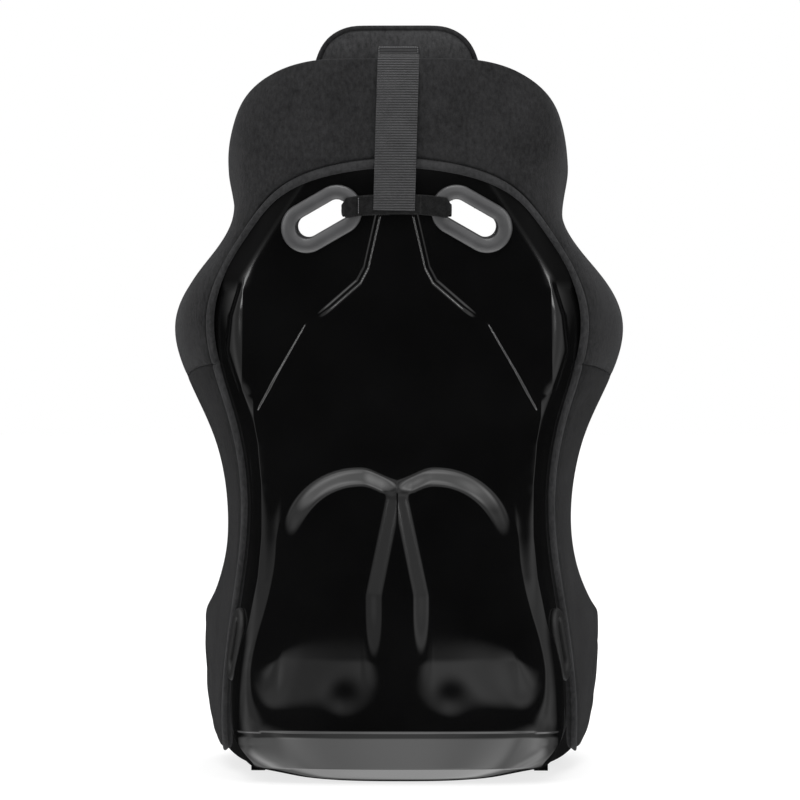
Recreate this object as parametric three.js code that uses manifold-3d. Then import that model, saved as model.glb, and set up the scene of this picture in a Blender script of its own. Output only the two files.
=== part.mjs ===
// A fixed-back bucket seat for a racing car: a moulded glass-fibre shell, a velour cover wrapped
// over its rim, foam pads and bolsters, loose cushions and an adjustable head pillow on straps.
// Millimetres, +Z up, +Y is the way the driver faces, origin under the middle of the seat.
import * as THREE from 'three';
import { mergeVertices } from 'three/addons/utils/BufferGeometryUtils.js';
import Module from 'manifold-3d';

const wasm = await Module();
wasm.setup();

// ---- driving dimensions --------------------------------------------------------------------
const SHELL_THICKNESS = 4.5;
const LAYER_GAP = 1;             // clearance between two layers that follow the shell
const COVER_THICKNESS = 2.8;
const COVER_INNER = 0.9;         // gap between the cover and the outside of the shell
// Thickness of each foam pad at its edges and at its crown.
const BACK_FOAM = { edge: 14, crown: 17 };
const HEAD_FOAM = { edge: 12, crown: 18 };
const PAN_FOAM = { edge: 9, crown: 13 };
const HEAD_WING_FOAM = { edge: 9, crown: 20 };
const SHOULDER_FOAM = { edge: 12, crown: 34 };
const TORSO_FOAM = { edge: 12, crown: 32 };
const HIP_FOAM = { edge: 10, crown: 22 };
const THIGH_FOAM = { edge: 10, crown: 34 };
const SEAT_CUSHION = { edge: 26, crown: 40, halfWidth: 1.7, hole: { length: 92, width: 46 } };
const LUMBAR_CUSHION = { edge: 10, crown: 26, halfWidth: 1.5 };
const FORE_AFT_SHIFT = -1.57;     // puts the origin under the middle of the whole seat

// Slots: size of the opening, depth of the tunnel through shell and foam, and width and seat (its
// distance off the shell) of the flat bezel round it.
const SHOULDER_SLOT = {
  x: 90.5, z: 695.5, slant: 30, length: 69, width: 26, tunnel: 32, bezel: 15.5, seat: 1.2,
};
const LAP_SLOT = { u: 2.5, s: 10.65, length: 70, width: 26, tunnel: 30, bezel: 10, seat: 2.4 };
const CROTCH_SLOT = { y: 92, length: 74, width: 30, tunnel: 24, bezel: 8 };
const BEZEL_THICKNESS = 3.4;
const CROTCH_RING_THICKNESS = 2.6;
const COLLAR = { width: 11, thickness: 3 };
const TUNNEL_WALL = 2;

const WEBBING = { width: 50, thickness: 1.6 };
const BAND = { width: 25, thickness: 2, halfLength: 67 };
const RUNNER = { x: 182, width: 18, y: 80, length: 140, height: 15 };
const MOUNT_PLATE = { length: 128, height: 10.4, thickness: 3, z: 7.4 };
const INSERT = { radius: 4.2, bore: 3.4, length: 6, spacing: 100 };
const FIT_GAP = 0.3;             // between a metal piece and the shell it is set in

// ---- the shell's guide lines ---------------------------------------------------------------
// Each station crosses the seat from its centre line to its rim: the centre of the back or pan as
// [y, z], then, as [x, y, z], the crease where the back turns into the side, the cover's hem, the
// widest line of the side and the rim. The stations run from the top edge down the back and
// forward along the pan to the front lip.
const STATIONS = [
  [[-264, 886], [112, -260, 884], [168, -248, 864], [198, -205, 824], [203, -135, 790]],
  [[-268, 868], [122, -265, 866], [176, -250, 847], [203, -203, 809], [206, -130, 776]],
  [[-271, 826], [133, -267, 824], [181, -248, 812], [206, -200, 788], [208, -122, 758]],
  [[-270, 766], [140, -265, 764], [177, -246, 758], [197, -200, 746], [199, -116, 724]],
  [[-265, 706], [148, -258, 704], [174, -240, 700], [196, -195, 693], [198, -108, 680]],
  [[-258, 646], [172, -248, 646], [202, -228, 644], [240, -180, 640], [254, -92, 632]],
  [[-249, 588], [193, -236, 588], [220, -212, 586], [272, -160, 582], [286, -66, 575]],
  [[-239, 525], [196, -224, 525], [214, -200, 525], [254, -145, 522], [268, -48, 512]],
  [[-228, 455], [180, -210, 455], [194, -185, 455], [218, -128, 452], [230, -30, 440]],
  [[-217, 380], [164, -196, 380], [183, -166, 380], [203, -108, 378], [214, -10, 362]],
  [[-206, 300], [167, -186, 300], [186, -145, 302], [204, -80, 306], [216, 25, 296]],
  [[-196, 215], [184, -178, 218], [199, -108, 228], [214, -35, 246], [228, 75, 248]],
  [[-187, 135], [204, -170, 136], [210, -64, 150], [228, 5, 180], [244, 130, 216]],
  [[-182, 74], [208, -159, 71], [216, -30, 75], [240, 50, 106], [255, 185, 200]],
  [[-156, 18], [192, -134, 28], [217, 0, 28], [246, 90, 62], [259, 225, 192]],
  [[-140, 0], [180, -112, 18], [221, 40, 16], [252, 130, 50], [261, 248, 186]],
  [[-90, 0], [180, -58, 18], [224, 85, 14], [254, 165, 48], [262, 262, 176]],
  [[60, 0], [181, 75, 19], [226, 140, 14], [255, 200, 48], [262, 274, 160]],
  [[165, 3], [183, 165, 21], [226, 205, 16], [254, 232, 52], [261, 282, 134]],
  [[262, 44], [186, 262, 44], [224, 260, 40], [248, 262, 60], [258, 284, 104]],
];
const CREASE_U = 2;              // across the seat: 0 centre, 2 crease, 3 hem, 4 rim
const HEM_U = 3;
const RIM_U = 4;
const FRONT_S = STATIONS.length - 3;   // along the seat: 0 top edge, FRONT_S front lip
const U_STEP = 0.5;
const S_STEP = 0.5;

const cubicKnots = (count) => {
  const knots = [0, 0, 0];
  for (let k = 0; k <= count - 3; k += 1) knots.push(k);
  knots.push(count - 3, count - 3, count - 3);
  return knots;
};

// Weights of the control points on a clamped cubic B-spline at parameter t.
function splineWeights(count, t) {
  const knots = cubicKnots(count);
  const end = count - 3;
  const span = 3 + Math.min(Math.floor(t), end - 1);
  let weights = knots.slice(1).map((_, k) => (k === span ? 1 : 0));
  for (let degree = 1; degree <= 3; degree += 1) {
    weights = weights.slice(0, -1).map((weight, k) => {
      const left = knots[k + degree] - knots[k];
      const right = knots[k + degree + 1] - knots[k + 1];
      const rising = left > 0 ? ((t - knots[k]) / left) * weight : 0;
      const falling = right > 0 ? ((knots[k + degree + 1] - t) / right) * weights[k + 1] : 0;
      return rising + falling;
    });
  }
  return weights;
}

// Control points of one station from the left rim to the right rim.
function controlRow([[centreY, centreZ], crease, hem, side, rim]) {
  const [creaseX, creaseY] = crease;
  const centre = [0, centreY, centreZ];
  const middle = [0.6 * creaseX, centreY + 0.2 * (creaseY - centreY), centreZ];
  const right = [middle, crease, hem, side, rim];
  const left = right.map(([x, y, z]) => [-x, y, z]).reverse();
  return [...left, centre, ...right];
}
const CONTROL = STATIONS.map(controlRow);

function smoothSurface(u, s) {
  const across = splineWeights(CONTROL[0].length, u + RIM_U);
  const along = splineWeights(CONTROL.length, s);
  const point = new THREE.Vector3();
  along.forEach((rowWeight, row) => {
    if (rowWeight === 0) return;
    across.forEach((weight, column) => {
      const [x, y, z] = CONTROL[row][column];
      point.add(new THREE.Vector3(x, y, z).multiplyScalar(rowWeight * weight));
    });
  });
  return point;
}

// Two shallow recesses side by side in the lower back, parted by a narrow spine.
const LOBE = { depth: 13, inner: 12, outer: 174, bottom: 88, top: 396, crown: 46 };
function lobeDepth(x, z) {
  const across = Math.abs(x);
  const topHere = LOBE.top - 0.0042 * (across - LOBE.crown) ** 2;
  return LOBE.depth
    * THREE.MathUtils.smoothstep(across, LOBE.inner, LOBE.inner + 34)
    * THREE.MathUtils.smoothstep(LOBE.outer - across, 0, 40)
    * THREE.MathUtils.smoothstep(z, LOBE.bottom, LOBE.bottom + 60)
    * THREE.MathUtils.smoothstep(topHere - z, 0, 60);
}

function smoothNormal(u, s) {
  const h = 0.01;
  const u0 = Math.max(u - h, -RIM_U);
  const u1 = Math.min(u + h, RIM_U);
  const s0 = Math.max(s - h, 0);
  const s1 = Math.min(s + h, FRONT_S);
  const alongU = smoothSurface(u1, s).sub(smoothSurface(u0, s));
  const alongS = smoothSurface(u, s1).sub(smoothSurface(u, s0));
  return alongS.cross(alongU).normalize();
}

// The master grid: points of the shell's outer face and its normals, outward from the seat.
const U_CELLS = Math.round((2 * RIM_U) / U_STEP);
const S_CELLS = Math.round(FRONT_S / S_STEP);
const MASTER = [];
for (let row = 0; row <= S_CELLS; row += 1) {
  const s = row * S_STEP;
  MASTER.push(Array.from({ length: U_CELLS + 1 }, (_, column) => {
    const u = column * U_STEP - RIM_U;
    const normal = smoothNormal(u, s);
    const point = smoothSurface(u, s);
    point.addScaledVector(normal, -lobeDepth(point.x, point.z));
    return { point, normal };
  }));
}

// A place on the shell: u across, s along and an offset in mm, positive outward.
function onShell(u, s, offset = 0) {
  const column = THREE.MathUtils.clamp((u + RIM_U) / U_STEP, 0, U_CELLS);
  const row = THREE.MathUtils.clamp(s / S_STEP, 0, S_CELLS);
  const c = Math.min(Math.floor(column), U_CELLS - 1);
  const r = Math.min(Math.floor(row), S_CELLS - 1);
  const blend = (key) => {
    const near = MASTER[r][c][key].clone().lerp(MASTER[r][c + 1][key], column - c);
    const far = MASTER[r + 1][c][key].clone().lerp(MASTER[r + 1][c + 1][key], column - c);
    return near.lerp(far, row - r);
  };
  return blend('point').addScaledVector(blend('normal'), offset);
}

// Values from low to high, with every line of the master grid between them.
function gridLines(low, high, step) {
  const lines = [low];
  for (let k = Math.ceil(low / step + 0.2); k * step < high - 0.2 * step; k += 1) lines.push(k * step);
  lines.push(high);
  return lines;
}

// ---- solids --------------------------------------------------------------------------------
// A closed solid between two grids of points with the same rows and columns.
function slab(outer, inner) {
  const rows = outer.length;
  const columns = outer[0].length;
  const positions = [...outer.flat(), ...inner.flat()].flatMap((p) => [p.x, p.y, p.z]);
  const index = [];
  const at = (row, column, back) => row * columns + column + (back ? rows * columns : 0);
  const quad = (a, b, c, d) => index.push(a, b, c, a, c, d);
  const leftOfCentre = (r, c) => outer[r][c].x + outer[r + 1][c + 1].x < 0;
  // The long faces are split alike on both sides of the seat.
  const facePair = (r, c, back) => {
    const [a, b, d, e] = [at(r, c, back), at(r + 1, c, back), at(r + 1, c + 1, back), at(r, c + 1, back)];
    const ring = back ? [a, e, d, b] : [a, b, d, e];
    if (leftOfCentre(r, c)) ring.unshift(ring.pop());
    quad(...ring);
  };
  for (let r = 0; r < rows - 1; r += 1) {
    for (let c = 0; c < columns - 1; c += 1) {
      facePair(r, c, false);
      facePair(r, c, true);
    }
    quad(at(r, 0), at(r, 0, 1), at(r + 1, 0, 1), at(r + 1, 0));
    quad(at(r, columns - 1), at(r + 1, columns - 1), at(r + 1, columns - 1, 1), at(r, columns - 1, 1));
  }
  for (let c = 0; c < columns - 1; c += 1) {
    quad(at(0, c), at(0, c + 1), at(0, c + 1, 1), at(0, c, 1));
    quad(at(rows - 1, c), at(rows - 1, c, 1), at(rows - 1, c + 1, 1), at(rows - 1, c + 1));
  }
  const geometry = new THREE.BufferGeometry();
  geometry.setAttribute('position', new THREE.Float32BufferAttribute(positions, 3));
  geometry.setIndex(index);
  return facingOut(geometry);
}

function signedVolume(geometry) {
  const corner = [0, 1, 2].map(() => new THREE.Vector3());
  let volume = 0;
  for (let k = 0; k < geometry.index.count; k += 3) {
    corner.forEach((v, n) => v.fromBufferAttribute(geometry.attributes.position, geometry.index.getX(k + n)));
    volume += corner[0].dot(corner[1].clone().cross(corner[2])) / 6;
  }
  return volume;
}

function facingOut(geometry) {
  if (signedVolume(geometry) < 0) geometry.index.array.reverse();
  return geometry;
}

function toManifold(source) {
  const bare = source.clone();
  bare.deleteAttribute('normal');
  bare.deleteAttribute('uv');
  const welded = mergeVertices(bare, 1e-4);
  return new wasm.Manifold(new wasm.Mesh({
    numProp: 3,
    vertProperties: new Float32Array(welded.attributes.position.array),
    triVerts: new Uint32Array(welded.index.array),
  }));
}

function fromManifold(solid) {
  const mesh = solid.getMesh();
  const geometry = new THREE.BufferGeometry();
  geometry.setAttribute('position', new THREE.BufferAttribute(mesh.vertProperties, 3));
  geometry.setIndex(new THREE.BufferAttribute(mesh.triVerts, 1));
  return geometry;
}

function cut(body, ...tools) {
  const left = tools.reduce((rest, tool) => rest.subtract(toManifold(tool)), toManifold(body));
  return fromManifold(left);
}

function join(body, ...others) {
  const whole = others.reduce((sum, other) => sum.add(toManifold(other)), toManifold(body));
  return fromManifold(whole);
}

// A layer that follows the shell between two offsets. Each is a number of mm, or a function of how
// far across and along the layer a place is, from 0 to 1.
function layer([u0, u1], [s0, s1], outerOffset, innerOffset) {
  const value = (offset, u, s) => {
    if (typeof offset === 'number') return offset;
    return offset((u - u0) / (u1 - u0), (s - s0) / (s1 - s0));
  };
  const us = gridLines(u0, u1, U_STEP);
  const ss = gridLines(s0, s1, S_STEP);
  const grid = (offset) => ss.map((s) => us.map((u) => onShell(u, s, value(offset, u, s))));
  return slab(grid(outerOffset), grid(innerOffset));
}

// A foam pad on the inside of the shell, thickest along its middle.
const PAD_BASE = SHELL_THICKNESS + LAYER_GAP;
function pad(uRange, sRange, { edge, crown }, base = PAD_BASE) {
  const crowning = (a, b) => Math.sin(Math.PI * a) ** 0.6 * Math.sin(Math.PI * b) ** 0.3;
  const inside = (a, b) => -base - edge - (crown - edge) * crowning(a, b);
  return layer(uRange, sRange, -base, inside);
}

const mirrored = (geometry) => {
  const copy = geometry.clone();
  copy.scale(-1, 1, 1);
  copy.index.array.reverse();
  return copy;
};

// The cover's section round an edge of the shell, from its outer face over the edge to its inner
// face: [distance past the edge, offset] for the cover's outside and inside.
const WRAP_OUTSIDE = [[2.2, 2.9], [3.4, 0.5], [3.4, -5.2], [2.2, -7.6]];
const WRAP_INSIDE = [[COVER_INNER, COVER_INNER], [COVER_INNER, 0], [COVER_INNER, -5], [COVER_INNER, -5.1]];
const INNER_FLAP = { near: -5.1, far: -7.9 };

// One row of the wrap at a point of the edge; outward is the in-surface way past the edge.
function wrapRow(place, section) {
  const edge = place(0, 0);
  const inward = place(-1, 0);
  const normal = place(0, 1).sub(edge);
  const past = edge.clone().sub(inward).normalize();
  return section.map(([distance, offset]) => {
    const step = past.clone().multiplyScalar(distance).addScaledVector(normal, offset);
    return step.add(edge);
  });
}

// The cover along the right rim: an outer skin from the hem, round the rim, and a short inner flap.
function sideCover([s0, s1], fromU = HEM_U) {
  const us = gridLines(fromU, RIM_U, U_STEP);
  const flap = [RIM_U, RIM_U - 0.12];
  const outside = [];
  const inside = [];
  gridLines(s0, s1, S_STEP).forEach((s) => {
    const place = (step, offset) => onShell(RIM_U + step * 0.02, s, offset);
    outside.push([
      ...us.map((u) => onShell(u, s, COVER_INNER + COVER_THICKNESS)),
      ...wrapRow(place, WRAP_OUTSIDE),
      ...flap.map((u) => onShell(u, s, INNER_FLAP.far)),
    ]);
    inside.push([
      ...us.map((u) => onShell(u, s, COVER_INNER)),
      ...wrapRow(place, WRAP_INSIDE),
      ...flap.map((u) => onShell(u, s, INNER_FLAP.near)),
    ]);
  });
  return slab(outside, inside);
}

// The cover over the top edge or the front lip: skin, wrap and inner flap, across the seat.
function crossCover([u0, u1], edgeS, outerLines, flapS) {
  const outside = [];
  const inside = [];
  const inwardStep = edgeS === 0 ? -0.02 : 0.02;
  gridLines(u0, u1, U_STEP).forEach((u) => {
    const place = (step, offset) => onShell(u, edgeS + step * inwardStep, offset);
    outside.push([
      ...outerLines.map((s) => onShell(u, s, COVER_INNER + COVER_THICKNESS)),
      ...wrapRow(place, WRAP_OUTSIDE),
      ...[edgeS, flapS].map((s) => onShell(u, s, INNER_FLAP.far)),
    ]);
    inside.push([
      ...outerLines.map((s) => onShell(u, s, COVER_INNER)),
      ...wrapRow(place, WRAP_INSIDE),
      ...[edgeS, flapS].map((s) => onShell(u, s, INNER_FLAP.near)),
    ]);
  });
  return slab(outside, inside);
}

// A stadium outline of the given length and width, for slots and their trims.
function stadium(length, width, Type = THREE.Shape) {
  const outline = new Type();
  const straight = (length - width) / 2;
  outline.absarc(straight, 0, width / 2, -Math.PI / 2, Math.PI / 2, false);
  outline.absarc(-straight, 0, width / 2, Math.PI / 2, (3 * Math.PI) / 2, false);
  return outline;
}

function extrude(shape, depth, curveSegments = 5) {
  return new THREE.ExtrudeGeometry(shape, { depth, bevelEnabled: false, curveSegments });
}

function ring(length, width, wall, depth) {
  const outline = stadium(length + 2 * wall, width + 2 * wall);
  outline.holes.push(stadium(length, width, THREE.Path));
  return extrude(outline, depth);
}

const indexed = (geometry) => fromManifold(toManifold(geometry));

// ---- slots for the belts -------------------------------------------------------------------
// Each slot has a frame: its centre on the shell, x along the slot and z out of the shell.
function slotFrame(centre, along, outward) {
  const zAxis = outward.clone().normalize();
  const xAxis = along.clone().addScaledVector(zAxis, -along.dot(zAxis)).normalize();
  const yAxis = zAxis.clone().cross(xAxis);
  return new THREE.Matrix4().makeBasis(xAxis, yAxis, zAxis).setPosition(centre);
}

// The place on the shell whose front view is x, z.
function shellAt(x, z) {
  let u = 1.5;
  let s = 3;
  for (let k = 0; k < 60; k += 1) {
    const point = onShell(u, s);
    u = THREE.MathUtils.clamp(u + (x - point.x) / 90, 0, 3.5);
    s = THREE.MathUtils.clamp(s - (z - point.z) / 90, 0, FRONT_S);
  }
  return [u, s];
}

const outwardAt = (u, s) => onShell(u, s, 1).sub(onShell(u, s, 0)).normalize();

const shoulderPlace = shellAt(SHOULDER_SLOT.x, SHOULDER_SLOT.z);
const slant = THREE.MathUtils.degToRad(SHOULDER_SLOT.slant);
const shoulderFrame = slotFrame(
  onShell(...shoulderPlace),
  new THREE.Vector3(-Math.cos(slant), 0, Math.sin(slant)),
  outwardAt(...shoulderPlace),
);
const lapFrame = slotFrame(
  onShell(LAP_SLOT.u, LAP_SLOT.s),
  onShell(LAP_SLOT.u, LAP_SLOT.s - 0.4).sub(onShell(LAP_SLOT.u, LAP_SLOT.s + 0.4)),
  outwardAt(LAP_SLOT.u, LAP_SLOT.s),
);
const crotchFrame = slotFrame(
  new THREE.Vector3(0, CROTCH_SLOT.y, 0),
  new THREE.Vector3(1, 0, 0),
  new THREE.Vector3(0, 0, -1),
);

const TUNNEL_CLEARANCE = 0.6;
function slotCutter(slot, frame, depth = 130) {
  const grow = 2 * (TUNNEL_WALL + TUNNEL_CLEARANCE);
  const tool = extrude(stadium(slot.length + grow, slot.width + grow), depth);
  tool.translate(0, 0, -depth + 40);
  return indexed(tool).applyMatrix4(frame);
}

// The trim outside: a flat ring on the shell and the tunnel wall that runs in from it.
function slotTrim(slot, frame) {
  const flange = ring(slot.length, slot.width, TUNNEL_WALL + slot.bezel, BEZEL_THICKNESS);
  flange.translate(0, 0, slot.seat);
  const tunnel = ring(slot.length, slot.width, TUNNEL_WALL, slot.tunnel + slot.seat + 0.5);
  tunnel.translate(0, 0, -slot.tunnel);
  return join(flange, tunnel).applyMatrix4(frame);
}

// The ring inside the seat that the tunnel wall ends in.
function slotCollar(slot, frame) {
  const collar = ring(slot.length, slot.width, TUNNEL_WALL + COLLAR.width, COLLAR.thickness);
  collar.translate(0, 0, -slot.tunnel - COLLAR.thickness - 0.4);
  return indexed(collar).applyMatrix4(frame);
}

// The crotch slot's trim drops in from above: its ring lies on the pan pad.
function crotchTrim() {
  const { length, width, bezel, tunnel } = CROTCH_SLOT;
  const flange = ring(length, width, TUNNEL_WALL + bezel, CROTCH_RING_THICKNESS);
  flange.translate(0, 0, -tunnel - CROTCH_RING_THICKNESS);
  const wall = ring(length, width, TUNNEL_WALL, tunnel - 1);
  wall.translate(0, 0, -tunnel - 0.5);
  return join(flange, wall).applyMatrix4(crotchFrame);
}

const shoulderCutter = slotCutter(SHOULDER_SLOT, shoulderFrame);
const lapCutter = slotCutter(LAP_SLOT, lapFrame, 110);
const crotchCutter = slotCutter(CROTCH_SLOT, crotchFrame);

// ---- shell and its metal -------------------------------------------------------------------
function runnerBlock(side) {
  const block = new THREE.BoxGeometry(RUNNER.width, RUNNER.length, RUNNER.height);
  block.translate(side * RUNNER.x, RUNNER.y, RUNNER.height / 2);
  return block;
}

const runnerFace = RUNNER.x + RUNNER.width / 2;
function mountPlateShape(side, grow) {
  const inner = runnerFace - MOUNT_PLATE.thickness - grow;
  const outer = runnerFace + 3 * grow;
  const { length, height } = MOUNT_PLATE;
  const plate = new THREE.BoxGeometry(outer - inner, length + 2 * grow, height + 2 * grow);
  plate.translate((side * (inner + outer)) / 2, RUNNER.y, MOUNT_PLATE.z);
  return plate;
}

function insertShape(side, index, grow, extra) {
  const radius = INSERT.radius + grow;
  const body = new THREE.CylinderGeometry(radius, radius, INSERT.length + extra, 16);
  body.rotateZ(Math.PI / 2);
  const y = RUNNER.y + (index - 0.5) * INSERT.spacing;
  body.translate(side * (runnerFace - INSERT.length / 2), y, MOUNT_PLATE.z);
  return body;
}

// The insert is flush with the plate and open at its face for an M8 bolt.
function threadedInsert(side, index) {
  const bore = new THREE.CylinderGeometry(INSERT.bore, INSERT.bore, INSERT.length, 16);
  bore.rotateZ(Math.PI / 2);
  const y = RUNNER.y + (index - 0.5) * INSERT.spacing;
  bore.translate(side * (runnerFace - INSERT.length / 2 + 1), y, MOUNT_PLATE.z);
  return cut(insertShape(side, index, 0, 0), bore);
}

function shell() {
  const skin = layer([-RIM_U, RIM_U], [0, FRONT_S], 0, -SHELL_THICKNESS);
  const withRunners = join(skin, runnerBlock(1), runnerBlock(-1));
  const tools = [shoulderCutter, mirrored(shoulderCutter), lapCutter, mirrored(lapCutter), crotchCutter];
  [1, -1].forEach((side) => {
    tools.push(mountPlateShape(side, FIT_GAP));
    [0, 1].forEach((index) => tools.push(insertShape(side, index, FIT_GAP, 2 * FIT_GAP)));
  });
  return cut(withRunners, ...tools.map(indexed));
}

function mountPlate(side) {
  const holes = [0, 1].map((index) => insertShape(side, index, FIT_GAP, 4));
  return cut(mountPlateShape(side, 0), ...holes);
}

// ---- cover -----------------------------------------------------------------------------------
// Half-width in u of the bare shell below the cover's arched hem.
const ARCH_TOP_S = 2.15;
const ARCH_FOOT_S = 4.4;
const SIDE_SEAM_S = 6;
function archHalfWidth(s) {
  const rise = THREE.MathUtils.clamp((s - ARCH_TOP_S) / (ARCH_FOOT_S - ARCH_TOP_S), 0, 1);
  return HEM_U * (1 - (1 - rise) ** 2.6) ** 0.62;
}

function archWindow() {
  const height = SIDE_SEAM_S + 0.3 - ARCH_TOP_S;
  const rows = Array.from({ length: 13 }, (_, k) => ARCH_TOP_S + 0.02 + height * (k / 12) ** 1.8);
  const across = Array.from({ length: 9 }, (_, c) => c / 4 - 1);
  const row = (s, offset) => across.map((share) => onShell(archHalfWidth(s) * share, s, offset));
  const grid = (offset) => rows.map((s) => row(s, offset));
  return slab(grid(9), grid(-3));
}

function upperCover() {
  const seam = SIDE_SEAM_S - 0.03;
  const right = sideCover([0, seam], HEM_U - 0.1);
  const skin = layer([-HEM_U, HEM_U], [0, seam], COVER_INNER + COVER_THICKNESS - 0.05, COVER_INNER + 0.05);
  const top = crossCover([-RIM_U, RIM_U], 0, [0.3, 0], 0.12);
  return cut(join(right, mirrored(right), skin, top), archWindow());
}

// ---- foam pads ---------------------------------------------------------------------------------
const LINER_U = CREASE_U - 0.04;
const BOLSTER_U = CREASE_U + 0.06;
const BOLSTER_EDGE_U = RIM_U - 0.16;

const backPad = () => cut(
  pad([-LINER_U, LINER_U], [1.53, 11.47], BACK_FOAM),
  shoulderCutter,
  mirrored(shoulderCutter),
);
const headPad = () => pad([-LINER_U, LINER_U], [0.2, 1.47], HEAD_FOAM);
const panPad = () => cut(pad([-LINER_U, LINER_U], [11.53, FRONT_S - 0.2], PAN_FOAM), crotchCutter);
const bolster = ([s0, s1], foam) => pad([BOLSTER_U, BOLSTER_EDGE_U], [s0 + 0.03, s1 - 0.03], foam);

// ---- loose cushions ------------------------------------------------------------------------------
const CUSHION_REST = 1.5;        // how far a cushion lies off the pad that it rests on
function seatCushion() {
  const { halfWidth, hole } = SEAT_CUSHION;
  const base = PAD_BASE + PAN_FOAM.crown + CUSHION_REST;
  const body = pad([-halfWidth, halfWidth], [13.6, FRONT_S - 0.45], SEAT_CUSHION, base);
  return cut(body, slotCutter(hole, crotchFrame, 150));
}

const LUMBAR_BASE = PAD_BASE + BACK_FOAM.crown + 3.5;
function lumbarCushion() {
  const { halfWidth } = LUMBAR_CUSHION;
  return pad([-halfWidth, halfWidth], [8.1, 9.9], LUMBAR_CUSHION, LUMBAR_BASE);
}

// ---- head pillow -----------------------------------------------------------------------------------
// The pillow's outline, seen from the front, from its bottom corner up and round.
const PILLOW = { top: 931, bottom: 748, rear: -243, panel: 3.6, thickness: 48 };
function pillowOutline(inset, Type = THREE.Shape) {
  const outline = new Type();
  const top = PILLOW.top - inset;
  const bottom = PILLOW.bottom + inset;
  const half = (width) => width - inset;
  outline.moveTo(-half(84), bottom);
  outline.lineTo(half(84), bottom);
  outline.quadraticCurveTo(half(112), bottom, half(112), bottom + 30);
  outline.quadraticCurveTo(half(110), 850, half(98), 890);
  outline.quadraticCurveTo(half(88), top - 5, half(50), top);
  outline.lineTo(-half(50), top);
  outline.quadraticCurveTo(-half(88), top - 5, -half(98), 890);
  outline.quadraticCurveTo(-half(110), 850, -half(112), bottom + 30);
  outline.quadraticCurveTo(-half(112), bottom, -half(84), bottom);
  return outline;
}

// Stands an outline drawn in x, z upright, with its rear face at the given y.
function upright(shape, rear, depth, segments = 8, bevel = 0) {
  const options = {
    depth: depth - 2 * bevel,
    curveSegments: segments,
    bevelEnabled: bevel > 0,
    bevelThickness: bevel,
    bevelSize: bevel,
    bevelOffset: -bevel,
    bevelSegments: 3,
  };
  const body = new THREE.ExtrudeGeometry(shape, options);
  body.rotateX(Math.PI / 2);
  body.translate(0, rear + depth - bevel, 0);
  return indexed(body);
}

const PANEL_INSET = 6;
const pillowPanel = () => upright(pillowOutline(PANEL_INSET), PILLOW.rear, PILLOW.panel);
function pillowBinding() {
  const outline = pillowOutline(0);
  outline.holes.push(pillowOutline(PANEL_INSET - 0.5, THREE.Path));
  return upright(outline, PILLOW.rear, PILLOW.panel);
}
const pillowPad = () => upright(pillowOutline(0), PILLOW.rear + PILLOW.panel + 0.4, PILLOW.thickness, 8, 14);

function block(width, depth, height, x, y, z) {
  const body = new THREE.BoxGeometry(width, depth, height);
  body.translate(x, y, z);
  return indexed(body);
}
const TAB_REAR = PILLOW.rear - 0.3;
const strapTab = () => block(WEBBING.width - 2, 1.6, 10, 0, TAB_REAR - 0.8, 900.5);
const hookStrip = () => block(WEBBING.width - 4, 1.2, 24, 0, TAB_REAR - 0.6, 883);

// ---- straps --------------------------------------------------------------------------------------------
// A strap whose edge view is a line of points [y, z], given a thickness to one side of it.
function strap(points, width, thickness) {
  const line = points.map(([y, z]) => new THREE.Vector2(y, z));
  const side = line.map((point, k) => {
    const before = line[Math.max(k - 1, 0)];
    const after = line[Math.min(k + 1, line.length - 1)];
    const along = after.clone().sub(before).normalize();
    return point.clone().add(new THREE.Vector2(-along.y, along.x).multiplyScalar(thickness));
  });
  const edges = [-width / 2, width / 2];
  const grid = (points2d) => points2d.map((p) => edges.map((x) => new THREE.Vector3(x, p.x, p.y)));
  return slab(grid(side), grid(line));
}

// The webbing runs from the pillow over the top edge and down the back to the band.
const STRAP_OFFSET = 10.3;       // clear of the band that its lower end lies on
function pillowStrap() {
  const back = [];
  for (let s = 3; s > 0.2; s -= 0.4) {
    const point = onShell(0, s, STRAP_OFFSET);
    back.push([point.y, point.z]);
  }
  const over = [[-268, 888], [-263, 893], [-255, 893.4], [-248.5, 893.4]];
  return strap([...back, ...over], WEBBING.width, WEBBING.thickness);
}

// The band is a closed loop through both shoulder slots, round the shell and the back pad. It is
// gathered where it passes through the slots and lies at its full width across the back.
const BAND_Z = 706;
const BAND_GATHERED = 12;
const BAND_OFFSET = 7;           // inner face of the band, clear of the slot trims
function bandOutline(half, rear, front, radius, Type) {
  const outline = new Type();
  outline.absarc(half - radius, front - radius, radius, 0, Math.PI / 2, false);
  outline.absarc(-half + radius, front - radius, radius, Math.PI / 2, Math.PI, false);
  outline.absarc(-half + radius, rear + radius, radius, Math.PI, (3 * Math.PI) / 2, false);
  outline.absarc(half - radius, rear + radius, radius, (3 * Math.PI) / 2, 2 * Math.PI, false);
  return outline;
}

function retentionBand() {
  const [, s] = shellAt(0, BAND_Z);
  const rear = onShell(0, s, BAND_OFFSET + BAND.thickness).y;
  const front = rear + BAND_OFFSET + SHOULDER_SLOT.tunnel + COLLAR.width;
  const outline = bandOutline(BAND.halfLength, rear, front, 4, THREE.Shape);
  const inset = BAND.thickness;
  outline.holes.push(bandOutline(BAND.halfLength - inset, rear + inset, front - inset, 2, THREE.Path));
  const loop = extrude(outline, BAND_GATHERED, 3);
  loop.translate(0, 0, BAND_Z - BAND_GATHERED / 2);
  const rearFace = rear + BAND.thickness / 2;
  const face = block(2 * BAND.halfLength - 12, BAND.thickness, BAND.width, 0, rearFace, BAND_Z + 4.5);
  return join(loop, face);
}

// ---- fastening patches -------------------------------------------------------------------------------
const PATCH_THICKNESS = 1.4;
const PATCH_BASE = PAD_BASE + BACK_FOAM.crown + 0.9;
const lumbarPatch = () => layer([-1, 1], [8.5, 9.5], -PATCH_BASE, -PATCH_BASE - PATCH_THICKNESS);

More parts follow.
